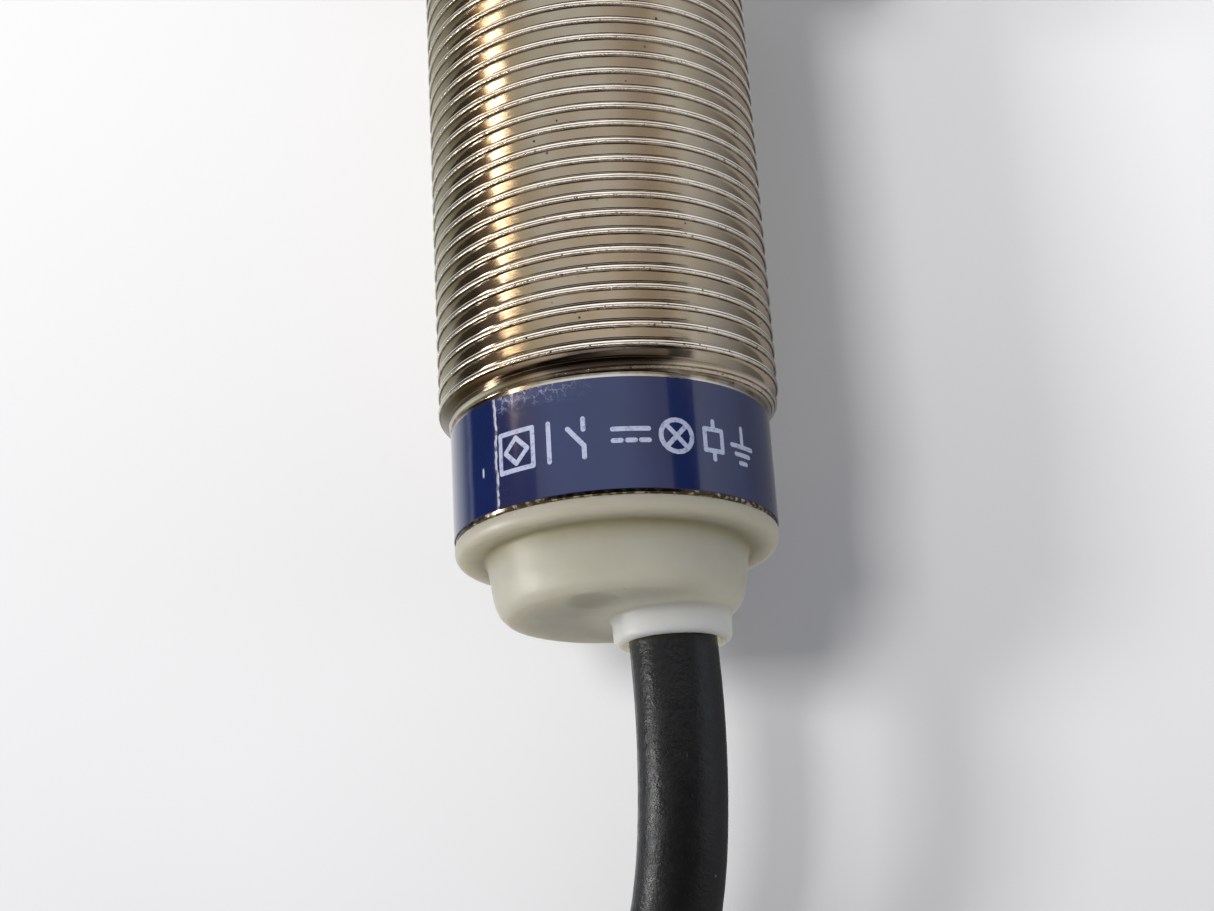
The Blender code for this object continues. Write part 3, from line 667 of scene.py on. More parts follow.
def settle(line, step, held):
    """Lets the cable settle under gravity: turns push each other apart, bends stay smooth, and the ties,
    the floor and the hank's own outline hold it. The first and last points stay where they are."""
    rng = np.random.default_rng(7)
    count = len(line)
    free = np.ones((count, 1))
    free[:held[0]] = 0.0
    free[count - held[1]:] = 0.0
    index = np.arange(count)
    grown = np.clip((index - held[0]) / GROW_POINTS, 0.0, 1.0)[:, None]
    swing = rng.normal(size=(count // WAVE_POINTS + 3, 3))
    knots = np.linspace(0, count - 1, len(swing))
    wobble = np.stack([np.interp(index, knots, swing[:, k]) for k in range(3)], -1)
    line = line + free * grown * wobble * WAVES
    apart = np.abs(index[:, None] - index[None]) > NEIGHBOURS * CABLE_R * 2 / step
    for _ in range(ROUNDS):
        line[:, 2] -= SINK * free[:, 0]
        gap = line[:, None] - line[None]
        distance = np.sqrt((gap**2).sum(-1)) + 1e-9
        near = apart & (distance < TOUCH)
        push = np.where(near, (TOUCH - distance) / distance * 0.5, 0.0)
        share = np.maximum(1.0, near.sum(1) * CROWDING)
        line = line + free * (push[..., None] * gap).sum(1) / share[:, None]
        bend = np.zeros_like(line)
        bend[2:-2] = line[:-4] - 4 * line[1:-3] + 6 * line[2:-2] - 4 * line[3:-1] + line[4:]
        line = line - STIFFNESS * free * bend
        for offset in (0, 1):
            a, b = line[offset:-1:2], line[offset + 1::2]
            pairs = min(len(a), len(b))
            a, b = a[:pairs], b[:pairs]
            between = b - a
            length = np.linalg.norm(between, axis=1, keepdims=True)
            shift = 0.5 * between * (1 - step / length)
            line[offset:-1:2][:pairs] += shift * free[offset:-1:2][:pairs]
            line[offset + 1::2][:pairs] -= shift * free[offset + 1::2][:pairs]
        line[:, 2] = np.maximum(line[:, 2], FLOOR_Z + CABLE_R)
        tied = (np.abs(line[:, 1] - TIE_Y) < 3 * MM) & (free[:, 0] > 0)
        highest = LOWEST_LAYER_Z + 8 * CABLE_R + SLACK
        line[tied, 2] = np.clip(line[tied, 2], LOWEST_LAYER_Z - SLACK, highest)
        across = line[:, 0] - HANK_X
        reach = np.clip(np.abs(across), INNER_TRACK - SLACK, OUTER_TRACK + SLACK) * np.sign(across)
        line[tied, 0] = HANK_X + reach[tied]
    return line


def cable():
    """The whole cable in one piece: straight out of the boss, down to the floor, and into the hank. Its
    line comes along, for the ties."""
    step = 2.2 * MM
    lead = [Vector(p) * MM for p in LEAD_ROUTE]
    tail = [Vector(p) * MM for p in HANK_EXIT_ROUTE + TAIL_ROUTE]
    wound = spaced(wound_line(), 6 * MM)
    knots = lead + [Vector(p) for p in wound] + tail
    line = spaced(smooth_line(knots, MM), step)
    length = np.linalg.norm(np.diff(line, axis=0), axis=1).sum()
    step = length / (len(line) - 1)
    held = (round(0.026 / step), round(0.018 / step))
    line = settle(line, step, held)
    fine = smooth_line([Vector(p) for p in line], 1.1 * MM)
    curve = tube_curve("cable", fine, CABLE_R, 8)
    nodes = ("cable_stub", "cable_lead", "cable_hank", "cable_tail")
    piece = piece_of("cable", curve, cable_sheath(), stands_for=nodes)
    return piece, line


def cable_end():
    """The stripped end: four cores that fan out of the jacket, each in a crimped ferrule."""
    start = Vector(TAIL_ROUTE[-1]) * MM
    core_r = 0.65 * MM
    down_z = FLOOR_Z + core_r + 0.05 * MM
    made = []
    for k, (colour, value) in enumerate(WIRE_COLOURS.items()):
        side = (k - 1.5) / 1.5
        lift = 0.75 * MM * (1 if k in (1, 2) else -1)
        nest = (-1 if k < 2 else 1) * 0.75 * MM
        inside = start + Vector((nest, -0.6 * MM, lift))
        begin = start + Vector((nest, 0.3 * MM, lift))
        middle = Vector((start.x + 2.2 * side * MM, start.y + 5 * MM, (start.z + down_z) / 2 + lift / 2))
        end = Vector((start.x + 3.6 * side * MM, start.y + 10.5 * MM, down_z))
        line = smooth_line([inside, begin, middle, end], 0.5 * MM)
        slot, node = "wire_" + colour, "end_core_" + colour
        core = tube_curve(node + "_wire", line, core_r, 6)
        made.append(piece_of(core.name, core, moulded(slot, value, 0.35, 3.0), stands_for=(node,)))
        way = end - middle
        way.z = 0.0
        made.append(ferrule(colour, end, way.normalized()))
    return made


def ferrule(colour, end, way):
    """A crimped sleeve with a flared collar over the end of its core's insulation."""
    columns = 24
    outline = [(0.0, -0.7), (0.72, -0.7), (0.74, 0.1), (0.56, 0.55), (0.5, 0.8)]
    for k in range(5):
        y = 0.75 * k
        outline += [(0.5, 1.1 + y), (0.43, 1.3 + y), (0.43, 1.55 + y), (0.5, 1.75 + y)]
    outline += [(0.5, 5.2), (0.42, 5.3), (0.0, 5.3)]
    node = "end_ferrule_" + colour
    turn = Vector((0.0, 1.0, 0.0)).rotation_difference(way).to_matrix()
    points = turned_points(mm(*outline), columns) @ np.array(turn).T + np.array(end)
    mesh = mesh_of(node + "_sleeve", points, grid_faces(len(outline), columns), 40.0)
    finish = metal("ferrule_" + colour, (0.72, 0.71, 0.68), 0.3)
    return piece_of(node + "_sleeve", mesh, finish, stands_for=(node,))


def hank_tie(side_name, side, line):
    """A nylon tie drawn tight round one run of the hank: a strap with round corners, a lock and a tail."""
    node = "hank_tie_" + side_name
    thick, corner, rim = 0.6 * MM, 1.6 * MM, 0.15 * MM
    held = (np.abs(line[:, 1] - TIE_Y) < 3 * MM) & (side * (line[:, 0] - HANK_X) > INNER_TRACK - 1.5 * MM)
    reach = CABLE_R + thick + 0.03 * MM
    low, high = line[held].min(axis=0) - reach, line[held].max(axis=0) + reach
    middle, half = (low + high) / 2, (high - low) / 2
    box_low, box_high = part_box(node)
    middle[1] = (box_low.y + box_high.y) / 2
    width = (box_high.y - box_low.y) / 2 - 0.05 * MM

    # The strap's own section, as its depth below the outside and its place across: rounded at the rims.
    section = [
        (0.3 * rim, width - 0.3 * rim), (0.0, width - rim), (0.0, rim - width),
        (0.3 * rim, 0.3 * rim - width), (rim, -width), (thick - rim, -width), (thick, rim - width),
        (thick, width - rim), (thick - rim, width), (rim, width),
    ]
    steps = 9
    turn = (np.arange(4)[:, None] * pi / 2 + pi / 16 * np.arange(steps)).ravel()
    right, up = np.repeat([1, -1, -1, 1], steps), np.repeat([1, 1, -1, -1], steps)
    rings = []
    for depth, across in section:
        x = middle[0] + right * (half[0] - corner) + (corner - depth) * np.cos(turn)
        z = middle[2] + up * (half[2] - corner) + (corner - depth) * np.sin(turn)
        rings.append(np.stack([x, np.full_like(x, middle[1] + across), z], -1))
    mesh = looped(node + "_strap", rings, 50.0, merge=1e-7)
    nylon = moulded(node + "_nylon", (0.03, 0.03, 0.032), 0.38, 3.0)
    made = [piece_of(node + "_strap", mesh, nylon, stands_for=(node,))]
    for part, across, bottom, size, bevel in (
        ("_lock", 1.0, -0.15, (5.2, 4.8, 2.45), 0.5),
        ("_tail", 1.6, 2.2, (0.9, 3.1, 2.4), 0.15),
    ):
        size = Vector(size) * MM
        place = Vector((middle[0] + side * across * MM, middle[1], high[2] + bottom * MM + size.z / 2))
        block = rounded_block(node + part, place, size, bevel * MM)
        made.append(piece_of(node + part, block, nylon))
    return made


def rounded_block(name, middle, size, bevel):
    """A block with rounded edges."""
    bm = bmesh.new()
    bmesh.ops.create_cube(bm, size=1.0)
    for v in bm.verts:
        v.co = middle + v.co * size
    bmesh.ops.bevel(bm, geom=bm.edges[:], offset=bevel, segments=3, profile=0.5, affect="EDGES")
    return finished(bm, name, 35)


# ---- barrel

# Samples of the thread's profile along one pitch, as shares of it from the middle of a crest: denser on
# the rolled crest and in the root, and denser on the rear flank, which is the one that the camera sees.
PROFILE_SHARES = np.array([
    0.0, 0.024, 0.05, 0.08, 0.105, 0.13, 0.155, 0.2, 0.43,
    0.46, 0.485, 0.51, 0.56, 0.81, 0.86, 0.9, 0.94, 0.976,
])


def thread_radius(share):
    """The 60 degree profile of a rolled thread: rounded crest with a faint seam along it, narrow root."""
    away = np.abs((share + 0.5) % 1.0 - 0.5) * PITCH
    soft = 0.022 * MM
    depth = soft * FLANK_TAN * np.logaddexp(0.0, (away - CREST_HALF) / soft)
    root = 0.02 * MM
    depth = THREAD_DEPTH - root * np.logaddexp(0.0, (THREAD_DEPTH - depth) / root)
    depth = np.maximum(0.0, depth) + CREST_SEAM * np.exp(-(away / (0.035 * MM)) ** 2)
    return THREAD_R - depth


def housing_barrel():
    """The helix is a grid whose columns climb by a pitch in one turn."""
    samples = len(PROFILE_SHARES)
    turns = int(-LAND_FRONT_Y / PITCH) + 3
    share = (np.arange(turns)[:, None] + PROFILE_SHARES[None]).reshape(-1, 1) - 1.0
    column = np.arange(THREAD_COLUMNS)[None] / THREAD_COLUMNS
    y = PITCH * (column - share)
    radius = np.broadcast_to(thread_radius(share), y.shape)
    y = np.clip(y, LAND_FRONT_Y, 0.0)
    radius = np.minimum(radius, FRONT_CHAMFER_R - y)
    radius = np.minimum(radius, LAND_R + (y - LAND_FRONT_Y))
    helix = around(2 * pi * column, radius, y).reshape(-1, 3)
    faces = grid_faces(len(share), THREAD_COLUMNS, row_shift=samples)
    edge = 0.06 * MM
    tail = [
        (LAND_R, LAND_FRONT_Y),
        (LAND_R, LAND_FRONT_Y - edge),
        (LAND_R, BARREL_END_Y + edge),
        (LAND_R - edge, BARREL_END_Y),
        (BORE_R + edge, BARREL_END_Y),
        (BORE_R, BARREL_END_Y + edge),
        (BORE_R, -edge),
        (BORE_R + edge, 0.0),
        (FRONT_CHAMFER_R, 0.0),
    ]
    rings = turned_points(tail, THREAD_COLUMNS)
    faces = np.concatenate([faces, grid_faces(len(tail), THREAD_COLUMNS) + len(helix)])
    mesh = mesh_of("barrel", np.concatenate([helix, rings]), faces, 48.0, merge=2e-6)
    finish = nickel("nickel_thread", thread=True)
    piece_of("barrel", mesh, finish, stands_for=("housing_barrel",))


# ---- label


def label_angles():
    """Angles round the label, closer together at the seam."""
    even = np.linspace(0.0, 2 * pi, 420, endpoint=False)
    close = [np.linspace(-0.035, -0.006, 6), np.linspace(-0.005, 0.005, 9), np.linspace(0.006, 0.05, 8)]
    close = np.concatenate(close) % (2 * pi)
    return np.unique(np.round(np.concatenate([even, close]), 6)) + SEAM_ANGLE


def label_radius(angle, y):
    """The label's outside: a second layer ends in a sharp, uneven edge at the seam, and the buried end of
    the first layer shows as a soft rise."""
    edge = sum(reach * np.sin(y / MM * pace + phase) for pace, phase, reach in SEAM_WAVES)
    turn = (angle - SEAM_ANGLE - edge + pi) % (2 * pi) - pi
    second = smoothstep(-turn, -0.001, 0.001) * smoothstep(turn, -OVERLAP - 0.05, -OVERLAP + 0.03)
    puff = np.exp(-((turn - 0.016) / 0.012) ** 2) * (0.5 + 0.5 * np.sin(y / MM * 4.0 + 0.6))
    lift = np.exp(-((turn + 0.02) / 0.03) ** 2) * 0.4
    return LABEL_OUT_R + LABEL_LAYER * (second * (1.0 + lift) + 0.4 * puff)


def label_band():
    angles = label_angles()
    edge = 0.02 * MM
    places = np.linspace(LABEL_FRONT_Y - edge, LABEL_REAR_Y + edge, 30)
    outside = [(y, label_radius(angles, y)) for y in places]
    front = (LABEL_FRONT_Y, label_radius(angles, LABEL_FRONT_Y) - edge)
    rear = (LABEL_REAR_Y, label_radius(angles, LABEL_REAR_Y) - edge)
    inside = [(y, LABEL_IN_R) for y in (LABEL_REAR_Y, LABEL_FRONT_Y)]
    mesh = looped("label", [around(angles, r, y) for y, r in [front, *outside, rear, *inside]], 40.0)
    piece_of("label", mesh, label_foil(), stands_for=("label_band",))


def loop(*points):
    """A closed stroke."""
    return [*points, points[0]]


# Generic wiring symbols, drawn as strokes in a cell one unit high. Each entry is the cell's width and
# its strokes. They stand for a sensor, a wire, a contact, direct current, a lamp, a load and earth.
LAMP_RING = [(0.45 + 0.42 * cos(pi * k / 10), 0.5 + 0.42 * sin(pi * k / 10)) for k in range(21)]
LABEL_SYMBOLS = [
    (1.0, [loop((0, 0), (1, 0), (1, 1), (0, 1)), loop((0.5, 0.16), (0.84, 0.5), (0.5, 0.84), (0.16, 0.5))]),
    (0.35, [[(0.17, 0.0), (0.17, 1.0)]]),
    (0.9, [[(0.45, 0.0), (0.45, 0.3), (0.05, 0.78)], [(0.45, 0.72), (0.45, 1.0)]]),
    (0.9, [[(0.0, 0.66), (0.9, 0.66)]] + [[(x, 0.36), (x + 0.2, 0.36)] for x in (0.0, 0.35, 0.7)]),
    (0.9, [LAMP_RING, [(0.16, 0.2), (0.74, 0.8)], [(0.16, 0.8), (0.74, 0.2)]]),
    (0.7, [loop((0.08, 0.22), (0.62, 0.22), (0.62, 0.78), (0.08, 0.78)),
           [(0.35, 0.0), (0.35, 0.22)], [(0.35, 0.78), (0.35, 1.0)]]),
    (0.8, [[(0.4, 1.0), (0.4, 0.5)], [(0.0, 0.5), (0.8, 0.5)],
           [(0.14, 0.28), (0.66, 0.28)], [(0.28, 0.06), (0.52, 0.06)]]),
]
SYMBOL_HEIGHT = 1.95 * MM
SYMBOL_GAP = 0.275
SYMBOL_STROKE = 0.24 * MM
SYMBOL_BASE_Y = -55.5 * MM
SYMBOLS_FROM = radians(-40.3)


def stroke_distance(points, strokes):
    """Distance of each point from the nearest stroke."""
    best = np.full(len(points), 1.0)
    for stroke in strokes:
        for a, b in zip(stroke, stroke[1:]):
            a, b = np.array(a), np.array(b)
            along = np.clip(((points - a) @ (b - a)) / ((b - a) @ (b - a)), 0.0, 1.0)
            best = np.minimum(best, np.linalg.norm(points - a - along[:, None] * (b - a), axis=1))
    return best


def filled_cells(distance, xs, ys):
    """Polygons where distance is below zero on a grid, cut at the zero line, as lists of (x, y)."""
    out = []
    for i in range(len(xs) - 1):
        for j in range(len(ys) - 1):
            ring = [(i, j), (i + 1, j), (i + 1, j + 1), (i, j + 1)]
            corners = [(Vector((xs[a], ys[b])), distance[a, b]) for a, b in ring]
            polygon = []
            for (a, value_a), (b, value_b) in zip(corners, corners[1:] + corners[:1]):
                if value_a < 0.0:
                    polygon.append(a)
                if (value_a < 0.0) != (value_b < 0.0):
                    polygon.append(a.lerp(b, float(value_a / (value_a - value_b))))
            if len(polygon) > 2:
                out.append(polygon)
    return out


def label_marks():
    """The white symbols, printed in a row: a thin layer just proud of the foil."""
    grid_step, margin, proud, thick = 0.045 * MM / SYMBOL_HEIGHT, 0.1, 0.009 * MM, 0.006 * MM
    bm = bmesh.new()
    start = 0.0
    for width, strokes in LABEL_SYMBOLS:
        xs = np.arange(-margin, width + margin + grid_step, grid_step)
        ys = np.arange(-margin, 1.0 + margin + grid_step, grid_step)
        grid = np.stack(np.meshgrid(xs, ys, indexing="ij"), -1)
        distance = stroke_distance(grid.reshape(-1, 2), strokes).reshape(len(xs), len(ys))
        for polygon in filled_cells(distance - SYMBOL_STROKE / SYMBOL_HEIGHT / 2, xs, ys):
            face = []
            for u, v in polygon:
                angle = SYMBOLS_FROM + (start + u) * SYMBOL_HEIGHT / LABEL_OUT_R
                y = SYMBOL_BASE_Y + v * SYMBOL_HEIGHT
                r = float(label_radius(np.array([angle]), y)[0]) + proud
                face.append(bm.verts.new((r * sin(angle), y, r * cos(angle))))
            bm.faces.new(face)
        start += width + SYMBOL_GAP
    merge_points(bm, 2e-7)
    bmesh.ops.recalc_face_normals(bm, faces=bm.faces)
    made = bmesh.ops.extrude_face_region(bm, geom=bm.faces[:])
    for v in [g for g in made["geom"] if isinstance(g, bmesh.types.BMVert)]:
        v.co -= Vector((v.co.x, 0.0, v.co.z)).normalized() * thick
    bmesh.ops.recalc_face_normals(bm, faces=bm.faces)
    piece_of("label_marks", finished(bm, "label_marks", 40), label_ink())


# ---- rear cap


def helper(name, outline, columns, x=0.0, z=0.0):
    """A shape that another piece is joined with or cut by; it isn't part of the model."""
    return linked(name, turned(name, outline, columns, x, z))


def shaped(obj, others, voxel, smoothing):
    """Joins and cuts an object, remeshes it finely and smooths it, so that its corners get small radii."""
    for other, operation in others:
        modifier = obj.modifiers.new(operation, "BOOLEAN")
        modifier.operation = operation
        modifier.solver = "EXACT"
        modifier.object = other
    remesh = obj.modifiers.new("Remesh", "REMESH")
    remesh.mode = "VOXEL"
    remesh.voxel_size = voxel
    smooth = obj.modifiers.new("Smooth", "SMOOTH")
    smooth.factor = 0.5
    smooth.iterations = smoothing
    graph = bpy.context.evaluated_depsgraph_get()
    mesh = bpy.data.meshes.new_from_object(obj.evaluated_get(graph), depsgraph=graph)
    for other, _ in others:
        bpy.data.objects.remove(other)
    bpy.data.objects.remove(obj)
    mesh.shade_smooth()
    return mesh


def rear_cap():
    """Flange, tapered cup with a rounded bottom, and the boss that the cable comes out of."""
    outline = [(0.0, CUP_END_Y)]
    outline += mm((4.4, -61.62), (5.3, -61.58), (5.85, -61.42), (6.2, -61.1), (6.4, -60.65), (6.52, -60.1))
    outline += mm((6.62, -59.3))
    outline += [
        (CUP_TOP_R, FLANGE_REAR_Y),
        (FLANGE_R - 0.22 * MM, FLANGE_REAR_Y),
        (FLANGE_R, FLANGE_REAR_Y + 0.3 * MM),
        (FLANGE_R, FLANGE_FRONT_Y),
        (7.65 * MM, FLANGE_FRONT_Y),
    ]
    outline += mm((7.65, -53.0), (6.45, -53.0), (6.45, -57.4), (5.5, -58.3), (5.3, -60.2), (0.0, -60.2))
    boss = [
        (0.0, BOSS_END_Y),
        (BOSS_R - 0.3 * MM, BOSS_END_Y),
        (BOSS_R - 0.07 * MM, BOSS_END_Y + 0.1 * MM),
        (BOSS_R, BOSS_END_Y + 0.32 * MM),
        (BOSS_R + 0.03 * MM, -61.75 * MM),
        (BOSS_R + 0.12 * MM, -61.55 * MM),
        (BOSS_R + 0.12 * MM, -60.4 * MM),
        (0.0, -60.4 * MM),
    ]
    bore = mm((0.0, -64.0), (2.75, -64.0), (2.42, -62.8), (2.42, -59.0), (0.0, -59.0))
    dish = mm((0.0, -62.4), (1.9, -62.4), (1.42, -61.6), (1.2, -61.45), (0.55, -61.34), (0.0, -61.32))
    cap = helper("rear_cap_form", outline, 96)
    others = [
        (helper("boss_form", boss, 64, BOSS_X), "UNION"),
        (helper("bore_form", bore, 64, BOSS_X), "DIFFERENCE"),
        (helper("dish_form", dish, 48, -1.3 * MM, 4.2 * MM), "DIFFERENCE"),
    ]
    mesh = shaped(cap, others, 0.12 * MM, 6)
    mesh.name = "cap"
    piece_of("cap", mesh, cap_plastic(), stands_for=("rear_cap",))


# ---- sensing end


def sensing_face():
    """The face cap: a shallow rim round a flat disc, and its skirt inside the barrel."""
    outline = [(0.0, 0.0), (6.9, 0.0), (7.0, -0.06), (7.12, -0.06), (7.2, 0.0), (7.58, 0.0), (7.7, -0.12)]
    outline += [(7.7, -5.0), (7.3, -5.0), (7.3, -8.4), (6.95, -8.4), (6.95, -1.0), (0.0, -1.0)]
    mesh = turned("sensing_face", mm(*outline), 128)
    finish = moulded("face_plastic", (0.60, 0.60, 0.56), 0.42, 5.0, 0.008)
    piece_of("sensing_face", mesh, finish, stands_for=("sensing_face_cap",))


# ---- nuts and washers


def hexagon_nut(name, body):
    """Chamfered hexagon with a flat downwards, and a countersunk bore."""
    low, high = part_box(name)
    columns = 240
    angle = 2 * pi * np.arange(columns) / columns
    off_flat = (angle + pi / 6) % (pi / 3) - pi / 6
    corner_r = NUT_FLATS / 2 / cos(pi / 6) - 0.12 * MM
    hexagon = np.minimum(NUT_FLATS / 2 / np.cos(off_flat), corner_r)
    face_r = NUT_FLATS / 2 - 0.45 * MM
    depths = np.concatenate([np.linspace(0.0, 1.0, 14) ** 1.2 * 1.3 * MM, [(high.y - low.y) / 2]])
    chamfered = [np.minimum(hexagon, face_r + depth / tan(radians(30))) for depth in depths]
    rings = [(high.y - depth, radius) for depth, radius in zip(depths, chamfered)]
    rings += [(low.y + depth, radius) for depth, radius in zip(depths[-2::-1], chamfered[-2::-1])]
    mouth = 0.45 * MM
    rings += [(low.y, NUT_BORE_R + mouth), (low.y + mouth, NUT_BORE_R)]
    rings += [(high.y - mouth, NUT_BORE_R), (high.y, NUT_BORE_R + mouth)]
    mesh = looped(name + "_hexagon", [around(angle, radius, y) for y, radius in rings], 24.0)
    finish = nickel(name + "_nickel", (0.70, 0.68, 0.64), 0.17)
    piece_of(name + "_hexagon", mesh, finish, body, (name,))


def lock_washer(name, body):
    """A spring steel ring whose teeth are twisted out of its plane."""
    low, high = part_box(name)
    columns = WASHER_TEETH * 16
    angle = 2 * pi * np.arange(columns) / columns
    phase = (angle * WASHER_TEETH / (2 * pi)) % 1.0
    tooth = smoothstep(phase, 0.02, 0.12) * (1.0 - smoothstep(phase, 0.5, 0.6))
    inner_r = 9.17 * MM
    outer_r = 10.9 * MM + 0.78 * MM * tooth
    twist = (phase - 0.31) * tooth * 1.5
    middle_y, half = (low.y + high.y) / 2, 0.26 * MM
    rings = []
    for share, side in ((0.0, 1), (0.35, 1), (0.7, 1), (1.0, 1), (1.0, -1), (0.7, -1), (0.35, -1), (0.0, -1)):
        radius = inner_r + (outer_r - inner_r) * share
        bend = twist * np.clip((radius - 10.6 * MM) / MM, 0.0, 1.0) * 0.42 * MM
        y = middle_y + side * half * (0.8 if share in (0.0, 1.0) else 1.0) + bend
        rings.append(around(angle, radius, y))
    mesh = looped(name + "_toothed", rings, 30.0)
    finish = nickel(name + "_plating", (0.60, 0.58, 0.53), 0.26)
    piece_of(name + "_toothed", mesh, finish, body, (name,))


# ---- finishes of the parts inside


def inner_finishes():
    """Procedural finishes for the CAD nodes that stay as they are."""
    black = moulded("chip_black", (0.03, 0.03, 0.03), 0.5, 5.0)
    plain = moulded("bobbin_plastic", (0.70, 0.70, 0.66), 0.5, 5.0)
    ceramic = moulded("ceramic", (0.45, 0.33, 0.22), 0.5, 6.0)
    lens = moulded("lamp_lens", (0.85, 0.45, 0.05), 0.15, 3.0, 0.002, Transmission_Weight=0.4)
    finishes = {
        "cable_clamp_ring": metal("clamp_metal", (0.6, 0.6, 0.6), 0.3),
        "face_seal_ring": moulded("seal_rubber", (0.02, 0.02, 0.02), 0.7, 4.0),
        "ferrite_pot_core": moulded("ferrite", (0.06, 0.055, 0.055), 0.6, 7.0, 0.012),
        "coil_bobbin": plain,
        "coil_carrier": plain,
        "coil_winding": metal("enamelled_wire", (0.72, 0.33, 0.17), 0.3, winding=True),
        "shield_disc": metal("shield_copper", (0.78, 0.40, 0.24), 0.25),
        "circuit_board": board_laminate(),
        "supply_capacitor": ceramic,
        "filter_capacitor": ceramic,
        "indicator_led": lens,
        "potting_resin": moulded("potting", (0.10, 0.09, 0.08), 0.3, 1.0, 0.02),
    }
    chips = ["oscillator_chip", "voltage_regulator", "output_transistor", "reverse_diode", "sense_resistor"]
    finishes.update(dict.fromkeys(chips, black))
    for colour, value in WIRE_COLOURS.items():
        finishes["inner_core_" + colour] = moulded("inner_wire_" + colour, value, 0.35, 3.0)
    for node, material in finishes.items():
        obj = frame["nodes"][node]
        obj.data.materials.clear()
        obj.data.materials.append(material)


# ---- floor and light


def stage_sheet(name, corners, finish, unseen_by):
    """A flat sheet of the studio that some kinds of rays don't see."""
    mesh = bpy.data.meshes.new(name)
    mesh.from_pydata(corners, [], [(0, 1, 2, 3)])
    mesh.materials.append(finish)
    obj = linked(name, mesh)
    for rays in unseen_by:
        setattr(obj, "visible_" + rays, False)


def floor():
    """A pale sheet, darkened towards -Y by painted shade. Shiny surfaces don't see it: the world shows them
    its light instead.
    """
    size = 1.5
    f = Finish("floor_sheet", Roughness=0.9, Specular_IOR_Level=0.2)
    f.blend(f.noise(0.02, 3.0), (0.86, 0.86, 0.875), (0.89, 0.89, 0.90))
    # Painted shade: the floor darkens smoothly towards -Y.
    f.paint((0.665, 0.665, 0.68), f.step(f.axes()[1], -10.0, -110.0))
    corners = [(-size, -size, FLOOR_Z), (size, -size, FLOOR_Z), (size, size, FLOOR_Z), (-size, size, FLOOR_Z)]
    stage_sheet("floor", corners, f.done(None), ["glossy"])


def area_light(name, place, target, size, power, colour):
    data = bpy.data.lights.new(name, "AREA")
    data.shape = "RECTANGLE"
    data.size, data.size_y = size
    data.energy = power
    data.color = colour
    obj = linked(name, data)
    obj.location = place
    obj.rotation_euler = (Vector(target) - Vector(place)).to_track_quat("-Z", "Y").to_euler()
    obj.visible_camera = False
    return obj


# Glints of strip lamps on the left, which only mirrors see: place, direction, size, radiance and colour.
SLANT = Vector((0.0, cos(radians(46.0)), sin(radians(46.0))))
GLINTS = [
    ("gold_core", Vector((-0.060, -0.0217, 0.0298)), SLANT, (0.0209, 0.0064), 8.0, (1.0, 0.96, 0.86)),
    ("gold_glow", Vector((-0.0602, -0.0210, 0.0268)), SLANT, (0.0210, 0.0200), 0.9, (1.0, 0.60, 0.27)),
    ("cable_glint", Vector((-0.060, -0.0700, 0.0056)), Vector((0.0, 1.0, 0.0)),
     (0.024, 0.008), 30.0, (1.0, 1.0, 1.0)),
]


def lights():
    """Two lamps on the left, so that the shadow has a darker core and a wide soft edge, weak low ones on
    the right and behind the cable, and the glints."""
    middle = Vector((0.0, -0.055, 0.0))
    lamps = [
        ("fill", Vector((0.68, -0.05, 0.14)), (0.3, 0.2), 1.5, (0.96, 0.98, 1.0)),
        ("front", Vector((-0.25, -0.62, 0.22)), (0.3, 0.2), 0.9, (1.0, 0.98, 0.95)),
    ]
    for name, height, size, power in (("high_key", 63.0, 0.17, 2.2), ("low_key", 38.0, 0.15, 2.6)):
        e = radians(height)
        lamps.append((name, 0.7 * Vector((-cos(e), 0.06, sin(e))), (size, size), power, (1.0, 0.985, 0.965)))
    for name, offset, size, power, colour in lamps:
        area_light(name, middle + offset, middle, size, power, colour).visible_glossy = False
    for name, place, along, size, radiance, colour in GLINTS:
        across = Vector((1.0, 0.0, 0.0))
        turn = Matrix((along, (-across).cross(along), -across)).transposed().to_4x4()
        strip = area_light(name, place, place + across, size, radiance * pi * size[0] * size[1], colour)
        strip.matrix_world = Matrix.Translation(place) @ turn
        strip.visible_diffuse = False
        strip.visible_transmission = False


def card(name, corners, colour):
    """A dull card that only mirrors see."""
    f = Finish(name + "_paper", Roughness=0.9)
    f.blend(f.noise(0.05, 2.0), shade(colour, 0.8), shade(colour, 1.2))
    stage_sheet(name, corners, f.done(None), ["camera", "diffuse", "shadow", "transmission"])


def cards():
    """The dark phone and hands over the object, the darker surroundings low on its left, and the dark
    stripe that the label mirrors on its right."""
    x, front, rear, z = 0.105, -0.040, -0.135, 0.0945
    card("phone", [(-x, rear, z), (-x, front, z), (x, front, z), (x, rear, z)], (0.025, 0.022, 0.020))
    x, front, rear, low, high = -0.0605, -0.0315, -0.0720, 0.004, 0.048
    corners = [(x, rear, low), (x, front, low), (x, front, high), (x, rear, high)]
    card("left_card", corners, (0.20, 0.15, 0.14))
    left, right, z = 0.0320, 0.0660, 0.040
    corners = [(left, -0.062, z), (left, -0.033, z), (right, -0.024, z), (right, -0.046, z)]
    card("right_card", corners, (0.08, 0.08, 0.10))


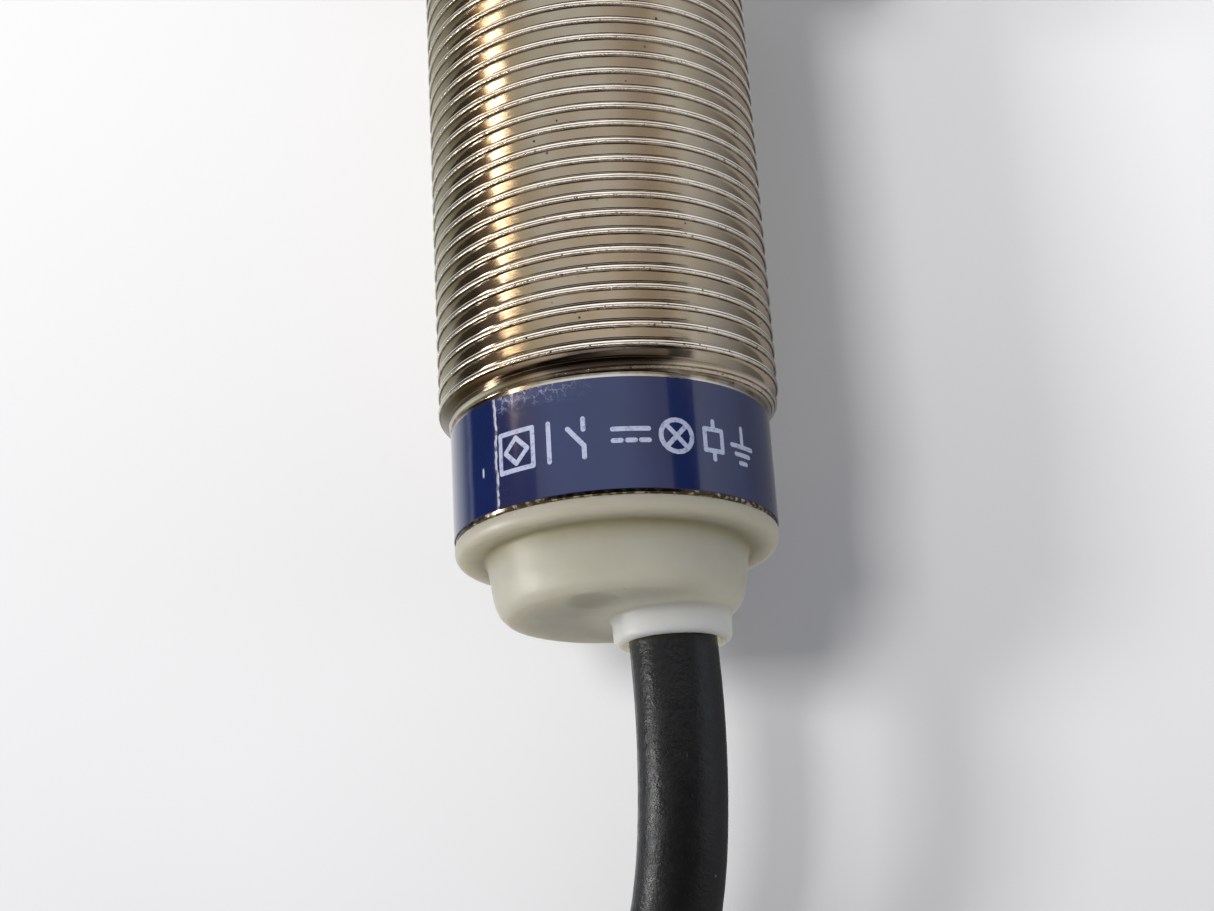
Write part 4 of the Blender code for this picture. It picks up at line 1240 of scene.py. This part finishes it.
# What shiny surfaces see, all round the barrel's axis: straight up is 0 and the left is positive. First
# what lies ahead of the sensor at a low angle, which the label and the lower crests mirror.
AHEAD = [
    (-180, (0.2, 0.2, 0.2)), (-144, (0.15, 0.15, 0.15)), (-128, (0.18, 0.18, 0.18)),
    (-112, (0.24, 0.24, 0.26)), (-96, (0.42, 0.45, 0.52)), (-62, (0.88, 0.94, 1.04)),
    (-53, (0.82, 0.82, 0.84)), (-43, (0.58, 0.53, 0.50)), (-33, (0.60, 0.57, 0.56)),
    (-21, (0.76, 0.77, 0.82)), (-8, (0.90, 0.99, 1.12)), (38, (0.86, 0.94, 1.06)), (50, (0.74, 0.74, 0.72)),
    (60, (0.78, 0.72, 0.60)), (67, (0.60, 0.50, 0.36)), (78, (0.30, 0.21, 0.14)), (88, (0.05, 0.04, 0.03)),
    (116, (0.03, 0.03, 0.03)), (126, (0.26, 0.29, 0.33)), (135, (0.62, 0.65, 0.70)), (150, (0.8, 0.8, 0.8)),
]
# Then what is ahead and further up or down, which the thread's flanks mirror off one another.
FAR_AHEAD = [
    (-180, (0.5, 0.5, 0.5)), (-96, (0.6, 0.6, 0.6)), (-62, (0.98, 0.98, 0.96)), (-53, (0.86, 0.82, 0.78)),
    (-43, (0.56, 0.50, 0.46)), (-33, (0.58, 0.52, 0.48)), (-21, (0.76, 0.71, 0.66)),
    (-8, (0.93, 0.89, 0.90)), (36, (0.96, 0.92, 0.92)), (50, (0.86, 0.83, 0.78)), (60, (0.86, 0.79, 0.66)),
    (67, (0.66, 0.56, 0.41)), (78, (0.30, 0.21, 0.14)), (90, (0.06, 0.045, 0.03)), (112, (0.06, 0.05, 0.04)),
    (140, (0.7, 0.7, 0.7)),
]
# Last what lies behind it, which the flanks mirror at the barrel's sides: straight back is 0, left positive.
BEHIND = [
    (-180, (0.6, 0.6, 0.6)), (-60, (0.28, 0.26, 0.25)), (-44, (0.36, 0.33, 0.30)), (-20, (0.42, 0.38, 0.33)),
    (20, (0.50, 0.44, 0.37)), (30, (0.34, 0.26, 0.18)), (36, (0.18, 0.11, 0.06)), (40, (0.13, 0.10, 0.055)),
    (45, (0.15, 0.14, 0.08)), (49, (0.34, 0.35, 0.28)), (62, (0.62, 0.64, 0.60)),
]


def world():
    """Plain pale light on everything, but shiny surfaces mirror the three rings, the dark beside the phone
    overhead, and a bright window far ahead on the left."""
    made = bpy.data.worlds.new("studio")
    bpy.context.scene.world = made
    made.use_nodes = True
    made.cycles.sampling_method = "NONE"
    w = Nodes(made.node_tree)
    w.tree.nodes.clear()
    x, y, z = w.node("SeparateXYZ", Vector=w.node("TexCoord").outputs["Generated"]).outputs
    left, back = w.times(x, -1.0), w.times(y, -1.0)
    above = w.mix(w.step(w.math("ABSOLUTE", x), 0.35, 0.65), (0.045, 0.035, 0.03), (0.42, 0.40, 0.37))
    behind = w.mix(w.step(z, 0.10, 0.24), w.ring(left, back, BEHIND), above)
    ahead = w.mix(w.step(y, 0.36, 0.45), w.ring(left, z, AHEAD), w.ring(left, z, FAR_AHEAD))
    window = w.times(w.step(y, 0.54, 0.62), w.step(x, 0.45, 0.15), 0.5)
    ahead = w.mix(window, ahead, (1.95, 1.85, 1.72))
    plain = w.node("Background", Color=(0.93, 0.95, 1.0), Strength=0.33)
    shiny = w.node("Background", Color=w.mix(w.step(y, -0.30, -0.12), behind, ahead), Strength=1.0)
    glossy = w.node("LightPath").outputs["Is Glossy Ray"]
    both = w.fed(w.node("MixShader"), glossy, plain.outputs[0], shiny.outputs[0])
    w.node("OutputWorld", Surface=both.outputs[0])


# ---- the whole sensor


camera()
cord, cable_line = cable()
on_cord = cable_end() + hank_tie("left", -1, cable_line) + hank_tie("right", 1, cable_line)
housing_barrel()
label_band()
label_marks()
rear_cap()
sensing_face()
hexagon_nut("front_nut", "front_nut")
hexagon_nut("rear_nut", "rear_nut")
lock_washer("front_lock_washer", "front_washer")
lock_washer("rear_lock_washer", "rear_washer")
inner_finishes()
floor()
lights()
cards()
world()
bpy.context.scene.view_settings.view_transform = "Standard"
